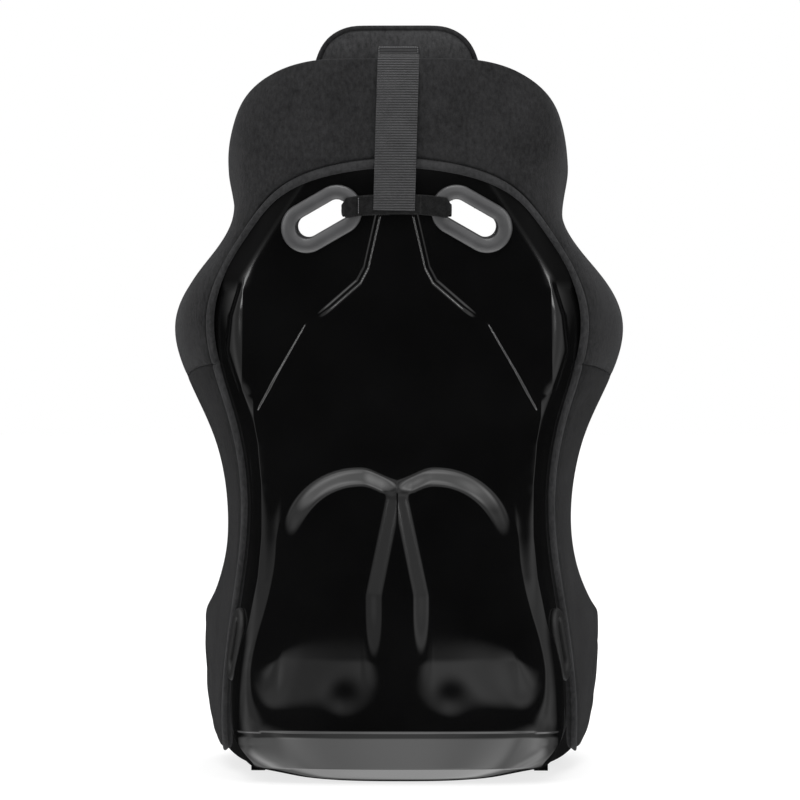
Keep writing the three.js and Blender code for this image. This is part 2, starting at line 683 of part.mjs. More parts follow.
// ---- materials and assembly ---------------------------------------------------------------------------
function finish(color, roughness, metalness = 0) {
  return new THREE.MeshStandardMaterial({ color, roughness, metalness });
}
const gloss = finish(0x050505, 0.08);
const velour = finish(0x1b1b1d, 0.95);
const pillowVelour = finish(0x29292b, 0.95);
const foamCover = finish(0x17171a, 0.95);
const plastic = finish(0x2c2c2e, 0.42);
const webbing = finish(0x3c3c3e, 0.85);
const hookLoop = finish(0x1c1c1e, 0.98);
const steel = finish(0x8c8f94, 0.4, 0.9);

const seat = new THREE.Group();
seat.position.y = FORE_AFT_SHIFT;

function add(name, geometry, material) {
  const mesh = new THREE.Mesh(geometry, material);
  mesh.name = name;
  seat.add(mesh);
}

function addPair(name, geometry, material) {
  add(`${name}_right`, geometry, material);
  add(`${name}_left`, mirrored(geometry), material);
}

add('shell', shell(), gloss);
[1, -1].forEach((side) => {
  const word = side > 0 ? 'right' : 'left';
  add(`mount_plate_${word}`, mountPlate(side), steel);
  add(`insert_front_${word}`, threadedInsert(side, 1), steel);
  add(`insert_rear_${word}`, threadedInsert(side, 0), steel);
});

addPair('shoulder_slot_trim', slotTrim(SHOULDER_SLOT, shoulderFrame), plastic);
addPair('shoulder_slot_collar', slotCollar(SHOULDER_SLOT, shoulderFrame), plastic);
addPair('lap_slot_trim', slotTrim(LAP_SLOT, lapFrame), plastic);
addPair('lap_slot_collar', slotCollar(LAP_SLOT, lapFrame), plastic);
add('crotch_slot_trim', crotchTrim(), plastic);

add('cover_upper', upperCover(), velour);
addPair('cover_side', sideCover([SIDE_SEAM_S + 0.03, FRONT_S - 0.54]), velour);
const frontLines = [FRONT_S - 0.5, FRONT_S];
add('cover_front', crossCover([-3.5, 3.5], FRONT_S, frontLines, FRONT_S - 0.12), velour);

add('head_pad', headPad(), foamCover);
add('back_pad', backPad(), foamCover);
add('pan_pad', panPad(), foamCover);
addPair('head_wing_pad', bolster([0.2, 3.4], HEAD_WING_FOAM), foamCover);
addPair('shoulder_bolster', bolster([3.4, 6], SHOULDER_FOAM), foamCover);
addPair('torso_bolster', bolster([6, 9.2], TORSO_FOAM), foamCover);
addPair('hip_pad', cut(bolster([9.2, 12], HIP_FOAM), lapCutter), foamCover);
addPair('thigh_bolster', bolster([12, FRONT_S - 0.2], THIGH_FOAM), foamCover);

add('seat_cushion', seatCushion(), velour);
add('lumbar_cushion', lumbarCushion(), velour);
add('lumbar_patch', lumbarPatch(), hookLoop);

add('head_pillow', pillowPad(), velour);
add('pillow_back_panel', pillowPanel(), pillowVelour);
add('pillow_binding', pillowBinding(), velour);
add('strap_tab', strapTab(), hookLoop);
add('hook_strip', hookStrip(), hookLoop);
add('pillow_strap', pillowStrap(), webbing);
add('retention_band', retentionBand(), hookLoop);

export default seat;
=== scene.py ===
"""Looks of the fixed-back racing seat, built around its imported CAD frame. Metres throughout."""
import math

import bmesh
import bpy
import numpy as np
from mathutils import Matrix, Vector


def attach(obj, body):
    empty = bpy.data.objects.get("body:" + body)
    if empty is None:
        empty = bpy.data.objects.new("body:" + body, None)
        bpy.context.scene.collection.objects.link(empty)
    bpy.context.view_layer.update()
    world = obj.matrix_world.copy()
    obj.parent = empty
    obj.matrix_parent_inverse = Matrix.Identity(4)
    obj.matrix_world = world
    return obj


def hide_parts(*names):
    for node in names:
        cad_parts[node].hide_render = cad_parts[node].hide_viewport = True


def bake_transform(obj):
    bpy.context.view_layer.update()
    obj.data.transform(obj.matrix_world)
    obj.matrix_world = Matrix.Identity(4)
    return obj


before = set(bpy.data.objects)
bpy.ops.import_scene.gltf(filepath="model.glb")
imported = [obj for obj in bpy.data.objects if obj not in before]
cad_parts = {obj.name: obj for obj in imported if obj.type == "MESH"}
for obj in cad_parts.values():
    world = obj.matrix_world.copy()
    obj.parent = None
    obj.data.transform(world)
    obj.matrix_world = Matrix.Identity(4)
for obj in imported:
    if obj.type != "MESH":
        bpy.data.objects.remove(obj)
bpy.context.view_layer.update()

MM = 0.001
SHELL, PILLOW_BODY = "shell_body", "head_pillow_body"
SEAT_BODY, LUMBAR_BODY = "seat_cushion_body", "lumbar_cushion_body"

# ---- camera ----
CAMERA_PLACE = Vector((0.055, -4.316, 0.477))
CAMERA_YAW = 0.72          # degrees towards the left
CAMERA_LENS = 151.2


def add_camera():
    data = bpy.data.cameras.new("camera")
    data.lens = CAMERA_LENS
    data.sensor_width = 36
    data.clip_end = 60
    camera = bpy.data.objects.new("camera", data)
    bpy.context.scene.collection.objects.link(camera)
    camera.location = CAMERA_PLACE
    camera.rotation_euler = (math.radians(90), 0, math.radians(CAMERA_YAW))
    bpy.context.scene.camera = camera


add_camera()

# ---- the shell's surface ----
# The same guide lines as the CAD model, in mm: centre (y, z), then crease, hem, side and rim.
FORE_AFT_SHIFT = -1.57
STATIONS = [
    [(-264, 886), (112, -260, 884), (168, -248, 864), (198, -205, 824), (203, -135, 790)],
    [(-268, 868), (122, -265, 866), (176, -250, 847), (203, -203, 809), (206, -130, 776)],
    [(-271, 826), (133, -267, 824), (181, -248, 812), (206, -200, 788), (208, -122, 758)],
    [(-270, 766), (140, -265, 764), (177, -246, 758), (197, -200, 746), (199, -116, 724)],
    [(-265, 706), (148, -258, 704), (174, -240, 700), (196, -195, 693), (198, -108, 680)],
    [(-258, 646), (172, -248, 646), (202, -228, 644), (240, -180, 640), (254, -92, 632)],
    [(-249, 588), (193, -236, 588), (220, -212, 586), (272, -160, 582), (286, -66, 575)],
    [(-239, 525), (196, -224, 525), (214, -200, 525), (254, -145, 522), (268, -48, 512)],
    [(-228, 455), (180, -210, 455), (194, -185, 455), (218, -128, 452), (230, -30, 440)],
    [(-217, 380), (164, -196, 380), (183, -166, 380), (203, -108, 378), (214, -10, 362)],
    [(-206, 300), (167, -186, 300), (186, -145, 302), (204, -80, 306), (216, 25, 296)],
    [(-196, 215), (184, -178, 218), (199, -108, 228), (214, -35, 246), (228, 75, 248)],
    [(-187, 135), (204, -170, 136), (210, -64, 150), (228, 5, 180), (244, 130, 216)],
    [(-182, 74), (208, -159, 71), (216, -30, 75), (240, 50, 106), (255, 185, 200)],
    [(-156, 18), (192, -134, 28), (217, 0, 28), (246, 90, 62), (259, 225, 192)],
    [(-140, 0), (180, -112, 18), (221, 40, 16), (252, 130, 50), (261, 248, 186)],
    [(-90, 0), (180, -58, 18), (224, 85, 14), (254, 165, 48), (262, 262, 176)],
    [(60, 0), (181, 75, 19), (226, 140, 14), (255, 200, 48), (262, 274, 160)],
    [(165, 3), (183, 165, 21), (226, 205, 16), (254, 232, 52), (261, 282, 134)],
    [(262, 44), (186, 262, 44), (224, 260, 40), (248, 262, 60), (258, 284, 104)],
]
CREASE_U, HEM_U, RIM_U = 2, 3, 4
FRONT_S = len(STATIONS) - 3


def control_net():
    rows = []
    for centre, crease, hem, side, rim in STATIONS:
        middle = (0.6 * crease[0], centre[0] + 0.2 * (crease[1] - centre[0]), centre[1])
        right = [middle, crease, hem, side, rim]
        left = [(-x, y, z) for x, y, z in reversed(right)]
        rows.append([*left, (0, *centre), *right])
    net = np.array(rows, dtype=float)
    net[..., 1] += FORE_AFT_SHIFT
    return net * MM


NET = control_net()


def spline_weights(count, values):
    """Weights of count control points of a clamped cubic B-spline at each value."""
    values = np.atleast_1d(np.asarray(values, dtype=float))
    end = count - 3
    knots = np.concatenate([[0, 0, 0], np.arange(end + 1), [end] * 3]).astype(float)
    spans = 3 + np.minimum(np.floor(values).astype(int), end - 1)
    weights = np.zeros((len(values), len(knots) - 1))
    weights[np.arange(len(values)), spans] = 1
    for degree in (1, 2, 3):
        k = np.arange(weights.shape[1] - 1)
        left = knots[k + degree] - knots[k]
        right = knots[k + degree + 1] - knots[k + 1]
        rising = np.where(left > 0, (values[:, None] - knots[k]) / np.where(left > 0, left, 1), 0)
        past = knots[k + degree + 1] - values[:, None]
        falling = np.where(right > 0, past / np.where(right > 0, right, 1), 0)
        weights = rising * weights[:, :-1] + falling * weights[:, 1:]
    return weights


def surface(u, s):
    """Points of the shell for arrays u and s of one shape."""
    u, s = np.broadcast_arrays(np.asarray(u, float), np.asarray(s, float))
    across = spline_weights(NET.shape[1], np.clip(u.ravel() + RIM_U, 0, 2 * RIM_U))
    along = spline_weights(NET.shape[0], np.clip(s.ravel(), 0, FRONT_S))
    points = np.einsum("ir,rck,ic->ik", along, NET, across)
    return points.reshape(*u.shape, 3)


def unit(vectors):
    return vectors / np.maximum(np.linalg.norm(vectors, axis=-1, keepdims=True), 1e-12)


def directions(u, s):
    """Unit ways along u and s, and the outward normal."""
    h = 0.004
    u, s = np.broadcast_arrays(np.asarray(u, float), np.asarray(s, float))
    u0, u1 = np.maximum(u - h, -RIM_U), np.minimum(u + h, RIM_U)
    s0, s1 = np.maximum(s - h, 0), np.minimum(s + h, FRONT_S)
    along_u = surface(u1, s) - surface(u0, s)
    along_s = surface(u, s1) - surface(u, s0)
    return unit(along_u), unit(along_s), unit(np.cross(along_s, along_u))


def smoothstep(x, low, high):
    t = np.clip((x - low) / (high - low), 0, 1)
    return t * t * (3 - 2 * t)


def on_shell(u, s, offset, smooth=False):
    """Points at an offset in mm outward from the shell, with its lumbar recesses unless smooth."""
    points = surface(u, s)
    normal = directions(u, s)[2]
    depth = 0 if smooth else lobe_depth(points[..., 0] / MM, points[..., 2] / MM)
    height = np.broadcast_to((np.asarray(offset) - depth) * MM, points.shape[:-1])
    return points + normal * height[..., None]


# ---- mesh helpers ----
def new_object(name, vertices, faces, smooth=True):
    mesh = bpy.data.meshes.new(name)
    mesh.from_pydata(np.asarray(vertices, dtype=float).tolist(), [], [list(map(int, f)) for f in faces])
    mesh.validate()
    mesh.polygons.foreach_set("use_smooth", [smooth] * len(mesh.polygons))
    obj = bpy.data.objects.new(name, mesh)
    bpy.context.scene.collection.objects.link(obj)
    return obj


def grid_faces(rows, columns, close_rows=False, close_columns=False):
    r = np.arange(rows - (0 if close_rows else 1))
    c = np.arange(columns - (0 if close_columns else 1))
    r, c = (a.ravel() for a in np.meshgrid(r, c, indexing="ij"))
    r1, c1 = (r + 1) % rows, (c + 1) % columns
    return np.stack([r * columns + c, r1 * columns + c, r1 * columns + c1, r * columns + c1], axis=1)


def slab_faces(rows, columns):
    """Faces of a closed solid between two grids stacked one after the other."""
    count = rows * columns
    front = grid_faces(rows, columns)
    back = count + front[:, ::-1]
    top = np.arange(columns)
    right = np.arange(1, rows) * columns + columns - 1
    bottom = (rows - 1) * columns + np.arange(columns - 2, -1, -1)
    left = np.arange(rows - 2, 0, -1) * columns
    edge = np.concatenate([top, right, bottom, left])
    after = np.roll(edge, -1)
    return np.concatenate([front, back, np.stack([edge, after, count + after, count + edge], axis=1)])


def slab(name, outer, inner):
    vertices = np.concatenate([outer.reshape(-1, 3), inner.reshape(-1, 3)])
    return outward(new_object(name, vertices, slab_faces(*outer.shape[:2])))


def lengths(points, axis=0):
    """Distance of each point from the first, along one axis of a grid or line of points."""
    steps = np.linalg.norm(np.diff(points, axis=axis), axis=-1)
    start = np.zeros_like(np.take(steps, [0], axis=axis))
    return np.concatenate([start, np.cumsum(steps, axis=axis)], axis=axis)


def outward(obj):
    bm = bmesh.new()
    bm.from_mesh(obj.data)
    bmesh.ops.recalc_face_normals(bm, faces=bm.faces)
    bm.to_mesh(obj.data)
    bm.free()
    return obj


def moved(points, matrix):
    """Points carried along by a 4 x 4 matrix."""
    matrix = np.array(matrix)
    return points @ matrix[:3, :3].T + matrix[:3, 3]


def resampled(values, far, distances):
    """Rows of values at new distances, where far is the distance of each row."""
    return np.stack([np.interp(distances, far, column) for column in values.T], axis=1)


def closed_tube(name, line, radius, sides, up):
    """A round tube along a closed line of points."""
    along = unit(np.roll(line, -1, axis=0) - np.roll(line, 1, axis=0))
    side = unit(np.cross(along, up))
    rise = unit(np.cross(side, along))
    angle = np.linspace(0, 2 * np.pi, sides, endpoint=False)[None, :, None]
    points = line[:, None] + radius * (side[:, None] * np.cos(angle) + rise[:, None] * np.sin(angle))
    faces = grid_faces(len(line), sides, close_rows=True, close_columns=True)
    return outward(new_object(name, points.reshape(-1, 3), faces))


def stitches(name, line, normals, length, gap, radius):
    """A row of short threads that lie along a line, each pointed at both ends."""
    sides, sunk = 6, 0.6
    far = lengths(line)
    starts = np.arange(gap / 2, far[-1] - length, length + gap)
    tail, head = resampled(line, far, starts), resampled(line, far, starts + length)
    rise = unit(resampled(normals, far, starts + length / 2))
    side = np.cross(unit(head - tail), rise)
    middle = (tail + head) / 2
    points, faces = [], []
    for k in range(len(starts)):
        first = len(points)
        last = first + sides + 1
        ring = [middle[k] + radius * (side[k] * math.cos(a) + rise[k] * math.sin(a))
                for a in np.linspace(0, 2 * math.pi, sides, endpoint=False)]
        points += [tail[k] - rise[k] * radius * sunk, *ring, head[k] - rise[k] * radius * sunk]
        for a in range(sides):
            b = (a + 1) % sides
            faces += [(first, first + 1 + b, first + 1 + a), (last, first + 1 + a, first + 1 + b)]
    return outward(new_object(name, points, faces))


def rear_stitches(name, line, length, gap, radius):
    """Stitches along a line on a face that looks straight back, all in mm."""
    back = np.broadcast_to(np.array([0.0, -1.0, 0.0]), line.shape)
    return stitches(name, line * MM, back, length * MM, gap * MM, radius * MM)


def apply_modifier(obj, kind, **settings):
    modifier = obj.modifiers.new(kind.lower(), kind)
    for key, value in settings.items():
        setattr(modifier, key, value)
    bpy.context.view_layer.objects.active = obj
    bpy.ops.object.modifier_apply(modifier=modifier.name)


def place(obj, body, slot_name, material, *nodes):
    obj.data.materials.clear()
    obj.data.materials.append(material)
    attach(obj, body)
    if nodes:
        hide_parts(*nodes)
    return obj


def ripple(points, size, seed):
    """Smooth unevenness of about -1 to 1 with features of about the size."""
    waves = 7
    rng = np.random.default_rng(seed)
    total = np.zeros(points.shape[:-1])
    for _ in range(waves):
        way = unit(rng.normal(size=3)) * 2 * np.pi / size * rng.uniform(0.6, 1.5)
        total += np.sin(points @ way + rng.uniform(0, 2 * np.pi))
    return total / 4


def lines(*pieces):
    """Values along a line, from pieces of (start, end, cells)."""
    values = [np.linspace(a, b, cells, endpoint=False) for a, b, cells in pieces]
    return np.concatenate([*values, [pieces[-1][1]]])


# ---- materials ----
class Nodes:
    """A short way to write the node tree of a material or a world."""

    def __init__(self, owner, shader, coordinates):
        owner.use_nodes = True
        self.owner, self.tree = owner, owner.node_tree
        self.shader = self.tree.nodes[shader]
        self.position = self.add("ShaderNodeTexCoord").outputs[coordinates]

    def add(self, kind, inputs=None, **settings):
        node = self.tree.nodes.new(kind)
        for key, value in settings.items():
            setattr(node, key, value)
        for key, value in (inputs or {}).items():
            if isinstance(value, bpy.types.NodeSocket):
                self.tree.links.new(value, node.inputs[key])
            else:
                node.inputs[key].default_value = value
        return node

    def noise(self, scale, detail, roughness=0.55, vector=None):
        inputs = {"Vector": vector or self.position, "Scale": scale, "Detail": detail, "Roughness": roughness}
        return self.add("ShaderNodeTexNoise", inputs).outputs["Fac"]

    def math(self, operation, a, b=0.0, c=0.0):
        return self.add("ShaderNodeMath", {0: a, 1: b, 2: c}, operation=operation).outputs[0]

    def fade(self, value, low, high, at_low=0, at_high=1):
        inputs = {"Value": value, "From Min": low, "From Max": high, "To Min": at_low, "To Max": at_high}
        return self.add("ShaderNodeMapRange", inputs, interpolation_type="SMOOTHSTEP").outputs["Result"]

    def spread(self, value, low, high):
        inputs = {"Value": value, "To Min": low, "To Max": high}
        return self.add("ShaderNodeMapRange", inputs).outputs["Result"]

    def ramp(self, value, stops):
        node = self.add("ShaderNodeValToRGB", {"Fac": value})
        elements = node.color_ramp.elements
        while len(elements) < len(stops):
            elements.new(0.5)
        for element, (at, colour) in zip(elements, stops):
            element.position = at
            element.color = (*colour, 1)
        return node.outputs["Color"]

    def scaled(self, x, y, z):
        node = self.add("ShaderNodeMapping", {"Vector": self.position})
        node.inputs["Scale"].default_value = (x, y, z)
        return node.outputs["Vector"]

    def link(self, value, socket):
        self.tree.links.new(value, self.shader.inputs[socket])

    def bump(self, height, distance, strength):
        node = self.add("ShaderNodeBump", {"Height": height, "Distance": distance, "Strength": strength})
        self.link(node.outputs["Normal"], "Normal")

    def set(self, **values):
        for key, value in values.items():
            self.shader.inputs[key.replace("_", " ")].default_value = value


def material_nodes(name):
    return Nodes(bpy.data.materials.new(name), "Principled BSDF", "Object")


def grey(value):
    """A grey with a trace of blue."""
    return (value, value, value * 1.03)


def gelcoat_material():
    """Polished black gelcoat, left dull where it runs under the cover beside the shoulder slots."""
    m = material_nodes("gelcoat_black")
    m.set(IOR=1.5)
    place_at = m.add("ShaderNodeSeparateXYZ", {0: m.position})
    across, height = m.math("ABSOLUTE", place_at.outputs["X"]), place_at.outputs["Z"]
    outside = m.math("MULTIPLY_ADD", height, 0.67, m.math("SUBTRACT", across, 0.601))
    dull = m.math("MULTIPLY", m.fade(outside, 0, 0.012), m.fade(height, 0.604, 0.624))
    m.link(m.spread(dull, 0.5, 0.06), "Specular IOR Level")
    m.link(m.ramp(m.noise(9, 4), [(0.3, grey(0.0018)), (0.7, grey(0.0032))]), "Base Color")
    scratches = m.spread(m.noise(220, 2, vector=m.scaled(1, 1, 0.12)), 0.05, 0.1)
    m.link(m.math("MULTIPLY_ADD", dull, 0.5, scratches), "Roughness")
    m.bump(m.noise(24, 2), 0.0001, 0.35)
    return m.owner


def velour_material(name, level, sheen=0.1):
    """Short pile: brushed patches, mottled tufts, a fine grain and a sheen at grazing angles."""
    nap = 0.55
    m = material_nodes(name)
    m.set(Sheen_Weight=sheen, Sheen_Roughness=0.45, Sheen_Tint=(0.55, 0.55, 0.57, 1), Specular_IOR_Level=0.1)
    brushed = m.noise(11, 4, 0.6)
    tufts = m.noise(230, 4, 0.7, vector=m.scaled(1, 1, 0.6))
    pile = m.noise(900, 3, 0.7)
    mix = m.math("MULTIPLY_ADD", brushed, 0.3, m.math("MULTIPLY", tufts, 0.5))
    mix = m.math("MULTIPLY_ADD", pile, 0.2, mix)
    m.link(m.ramp(mix, [(0.36, grey(level * (1 - nap))), (0.64, grey(level * (1 + nap)))]), "Base Color")
    m.link(m.spread(brushed, 0.88, 1.0), "Roughness")
    m.bump(m.math("MULTIPLY_ADD", tufts, 0.6, m.math("MULTIPLY", pile, 0.4)), 0.0012, 0.9)
    return m.owner


def plastic_material(name, level, rough=0.24):
    """Fine spark-eroded grain, slightly polished in patches by the belts."""
    m = material_nodes(name)
    m.set(IOR=1.55)
    broad = m.noise(30, 3)
    m.link(m.spread(broad, rough, rough + 0.14), "Roughness")
    m.link(m.ramp(broad, [(0.3, grey(level * 0.85)), (0.7, grey(level * 1.15))]), "Base Color")
    grain = m.math("MULTIPLY_ADD", m.noise(1400, 2, 0.6), 0.3, m.math("MULTIPLY", m.noise(60, 2), 0.7))
    m.bump(grain, 0.0007, 0.5)
    return m.owner


def webbing_material():
    """Polyester webbing: ribs across it, made of fine worn threads."""
    m = material_nodes("webbing")
    m.set(Sheen_Weight=0.15, Sheen_Roughness=0.4, Specular_IOR_Level=0.25)
    threads = m.noise(900, 2, vector=m.scaled(1, 1, 1.8))
    worn = m.noise(45, 4, 0.65)
    rib_inputs = {"Vector": m.position, "Scale": 101.3, "Distortion": 0.9, "Detail": 1.0, "Detail Scale": 3.0}
    ribs = m.add("ShaderNodeTexWave", rib_inputs, bands_direction="Z").outputs["Fac"]
    mix = m.math("MULTIPLY_ADD", threads, 0.45, m.math("MULTIPLY", worn, 0.25))
    mix = m.math("MULTIPLY_ADD", ribs, 0.3, mix)
    m.link(m.ramp(mix, [(0.28, grey(0.015)), (0.5, grey(0.036)), (0.72, grey(0.078))]), "Base Color")
    m.link(m.spread(threads, 0.65, 0.9), "Roughness")
    m.bump(threads, 0.0006, 0.9)
    return m.owner


def tape_material(name, level):
    """Hook-and-loop tape: a dense mat of small hooks or loops."""
    m = material_nodes(name)
    m.set(Sheen_Weight=0.08, Sheen_Roughness=0.5, Specular_IOR_Level=0.12)
    fuzz = m.noise(700, 4, 0.75)
    patchy = m.noise(150, 3, 0.6)
    mix = m.math("MULTIPLY_ADD", fuzz, 0.55, m.math("MULTIPLY", patchy, 0.45))
    m.link(m.ramp(mix, [(0.4, grey(level * 0.2)), (0.62, grey(level * 2.4))]), "Base Color")
    m.link(m.spread(fuzz, 0.8, 1.0), "Roughness")
    m.bump(fuzz, 0.0016, 1.0)
    return m.owner


def thread_material(name, level):
    m = material_nodes(name)
    twist = m.noise(2500, 2)
    m.link(m.ramp(twist, [(0.3, grey(level * 0.6)), (0.7, grey(level * 1.3))]), "Base Color")
    m.link(m.spread(twist, 0.5, 0.8), "Roughness")
    return m.owner


def steel_material():
    """Zinc plating with its spangle."""
    m = material_nodes("zinc_steel")
    m.set(Metallic=1.0)
    flakes = m.add("ShaderNodeTexVoronoi", {"Vector": m.position, "Scale": 260}).outputs["Distance"]
    m.link(m.ramp(flakes, [(0.0, (0.36, 0.37, 0.39)), (0.8, (0.55, 0.56, 0.57))]), "Base Color")
    m.link(m.spread(flakes, 0.28, 0.45), "Roughness")
    return m.owner


GELCOAT = gelcoat_material()
VELOUR = velour_material("cover_velour", 0.018)
# The side and front covers get a darker copy of the cover velour: painted shade, standing in for the shade
# the seat's sides fall into.
SHADED_SIDE_VELOUR = velour_material("cover_velour_painted_shade", 0.0145, sheen=0.04)
# The rolled hems get a lighter copy of the cover velour: a painted highlight where the roll catches the
# light.
LIT_HEM_VELOUR = velour_material("cover_velour_painted_highlight", 0.029)
PAD_VELOUR = velour_material("pad_velour", 0.021)
CUSHION_VELOUR = velour_material("cushion_velour", 0.02)
PANEL_VELOUR = velour_material("pillow_panel_velour", 0.039)
PLASTIC = plastic_material("slot_plastic", 0.055)
# A near-black copy of the slot plastic for the lap trims: painted shade, so they sink into the dark flank of
# the shell.
SHADED_SLOT_PLASTIC = plastic_material("slot_plastic_painted_shade", 0.003, 0.6)
WEBBING = webbing_material()
TAPE = tape_material("loop_tape", 0.005)
HOOKS = tape_material("hook_tape", 0.005)
DARK_THREAD = thread_material("dark_thread", 0.02)
PALE_THREAD = thread_material("pale_thread", 0.3)
STEEL = steel_material()

# ---- relief of the shell's back ----
# Lines on the back, as |x| and z in mm: the fold into the side, the panel's groove, the low step
# that runs up from the fold, and the bevel under the back.
FOLD = [(170, 0), (178, 30), (191, 52), (198, 71), (200, 95), (198, 128), (191, 172), (182, 201), (170, 258),
        (165, 309), (164, 374), (168, 427), (174, 457)]
FACET = [(174, 452), (190, 500), (204, 538), (200, 579), (187, 618)]
GROOVE = [(22, 702), (37, 637), (46, 620), (97, 576)]
STEP = [(116, 560), (147, 507), (175, 456)]
LOBE_DEPTH, LOBE_CREST, LOBE_RADIUS, LOBE_TOP = 13, 46, 104, 396


def line_distance(x, z, line):
    """Distance from a line in the rear view: negative towards the side where it's on the left."""
    best = np.full(x.shape, 1e9)
    for (x0, z0), (x1, z1) in zip(line, line[1:]):
        dx, dz = x1 - x0, z1 - z0
        t = np.clip(((x - x0) * dx + (z - z0) * dz) / (dx * dx + dz * dz), 0, 1)
        gap = np.hypot(x - x0 - t * dx, z - z0 - t * dz)
        side = np.where((x - x0) * -dz + (z - z0) * dx >= 0, 1, -1)
        best = np.where(gap < np.abs(best), gap * side, best)
    return best


def soft_ramp(distance, width):
    """0 before the line and the distance after it, rounded over the width."""
    return 0.5 * (distance + np.sqrt(distance ** 2 + width ** 2))


def lobe_depth(x, z):
    """Depth in mm of the two arched recesses in the lower back, parted by a spine that sinks upwards."""
    across = np.abs(x)
    wide = np.maximum(across - LOBE_CREST, 0) * (1 - 0.25 * smoothstep(300 - z, 0, 160))
    dip = 13 * (1 - smoothstep(across, 2, 44))
    inside = LOBE_RADIUS - np.hypot(wide, np.maximum(z - LOBE_TOP + LOBE_RADIUS, 0)) - dip
    ridge = 12 - 27 * np.clip((z - 236) / 130, 0, 1)
    spine = smoothstep(across - ridge, 0, 34)
    bottom = smoothstep(z, 80, 216 - 0.007 * wide ** 2)
    dent = 2.6 * np.exp(-((across - 66) ** 2 + (z - 106) ** 2) / 520)
    return LOBE_DEPTH * smoothstep(inside, 0, 28) * spine * bottom + dent


def bevel(z):
    """How far in mm the bevel under the back stands out of the rounded surface, at heights z."""
    s = np.linspace(9, 14.4, 200)
    centre = surface(0 * s, s) / MM
    rounded = np.interp([z, 0 * z + 69], centre[::-1, 2], centre[::-1, 1])
    sharp = np.interp(z, [4, 22, 69], [-141.5, -160.5, -184.2])
    above = (rounded[1] + 184.2) * np.clip((155 - z) / 86, 0, 1) ** 1.2
    return np.where(z > 69, above, np.clip(rounded[0] - sharp, 0, 6) * smoothstep(z, 3, 14))


def relief(points):
    """How far in mm the shell's outer face stands out of the smooth surface."""
    x, z = np.abs(points[..., 0]) / MM, points[..., 2] / MM
    fold_x, fold_z = zip(*FOLD)
    past = x - np.interp(z, fold_z, fold_x)
    height = folded(x, past, z)
    groove = np.abs(line_distance(x, z, GROOVE))
    groove_fade = smoothstep(z, 574, 590) * smoothstep(712 - z, 0, 8)
    height -= 1.8 * smoothstep(4.3 - groove, 0, 3.0) * groove_fade
    step = line_distance(x, z, STEP)
    drop = smoothstep(step, -1.3, 1.3) * (1 - smoothstep(step, 2, 42))
    height -= 1.5 * drop * smoothstep(z, 452, 470) * smoothstep(584 - z, 0, 24) * smoothstep(-past, 0, 5)
    height += bevel(z) * smoothstep(204 - x, 0, 14)
    return height - lobe_depth(x, z)


def folded(x, past, z):
    """The crisp fold between back and side, and the drop behind the facet above the fork."""
    low, above = smoothstep(210 - z, 0, 70), smoothstep(z, 320, 410)
    rise, reach = 3.4 + 2.0 * above + 3.2 * low, 17 + 13 * above + 23 * low
    tent = np.where(past < 0, np.clip(1 + past / reach, 0, 1) ** 2, np.clip(1 - past / 16, 0, 1))
    height = rise * tent * smoothstep(505 - z, 0, 75) * smoothstep(z, 6, 50)
    facet_x, facet_z = zip(*FACET)
    beyond = x - np.interp(z, facet_z, facet_x)
    turned = x - np.interp(z, [440, 452, 484, 620], [172, 174, 187, 187])
    facet = smoothstep(z, 446, 500) * smoothstep(634 - z, 0, 26)
    lifted = (1.4 + 4.0 * smoothstep(585 - z, 0, 90)) * np.clip(1 + turned / 32, 0, 1) ** 2
    return height + (lifted - np.minimum(0.6 * soft_ramp(beyond, 1.5), 5.0)) * facet


# ---- slots ----
TUNNEL_WALL = 2.0
CUT_MARGIN, CUT_REACH = TUNNEL_WALL + 0.6, 70        # of the cut for a slot, sideways and through
COLLAR_WIDTH, COLLAR_THICKNESS = 13, 3.0
SHOULDER_SLOT = {"length": 69, "width": 26, "bezel": 15.5, "tunnel": 32, "lift": 1.2}
LAP_SLOT = {"length": 70, "width": 26, "bezel": 10, "tunnel": 30, "lift": 2.4}
CROTCH_SLOT = {"length": 74, "width": 30, "bezel": 8, "tunnel": 24, "lift": 0}
MIRROR = Matrix.Scale(-1, 4, (1, 0, 0))


def slot_frame(centre, along, out):
    z_axis = Vector(out).normalized()
    x_axis = (Vector(along) - z_axis * Vector(along).dot(z_axis)).normalized()
    matrix = Matrix((x_axis, z_axis.cross(x_axis), z_axis)).transposed().to_4x4()
    matrix.translation = Vector(centre)
    return matrix


def shell_place(x, z):
    """u, s of the place on the shell whose front view is x, z in mm."""
    u, s = 1.5, 3.0
    for _ in range(60):
        point = surface(u, s) / MM
        u = float(np.clip(u + (x - point[0]) / 90, 0, 3.5))
        s = float(np.clip(s - (z - point[2]) / 90, 0, FRONT_S))
    return u, s


def shoulder_matrix():
    u, s = shell_place(90.5, 695.5)
    slant = math.radians(30)
    return slot_frame(surface(u, s), (-math.cos(slant), 0, math.sin(slant)), directions(u, s)[2])


def lap_matrix():
    u, s = 2.5, 10.65
    return slot_frame(surface(u, s), surface(u, s - 0.4) - surface(u, s + 0.4), directions(u, s)[2])


SHOULDER_MATRIX, LAP_MATRIX = shoulder_matrix(), lap_matrix()
CROTCH_MATRIX = slot_frame((0, (92 + FORE_AFT_SHIFT) * MM, 0), (1, 0, 0), (0, 0, -1))
SHOULDER_PAIR = [(m, SHOULDER_SLOT) for m in (SHOULDER_MATRIX, MIRROR @ SHOULDER_MATRIX)]
LAP_PAIR = [(m, LAP_SLOT) for m in (LAP_MATRIX, MIRROR @ LAP_MATRIX)]
CROTCH = [(CROTCH_MATRIX, CROTCH_SLOT)]


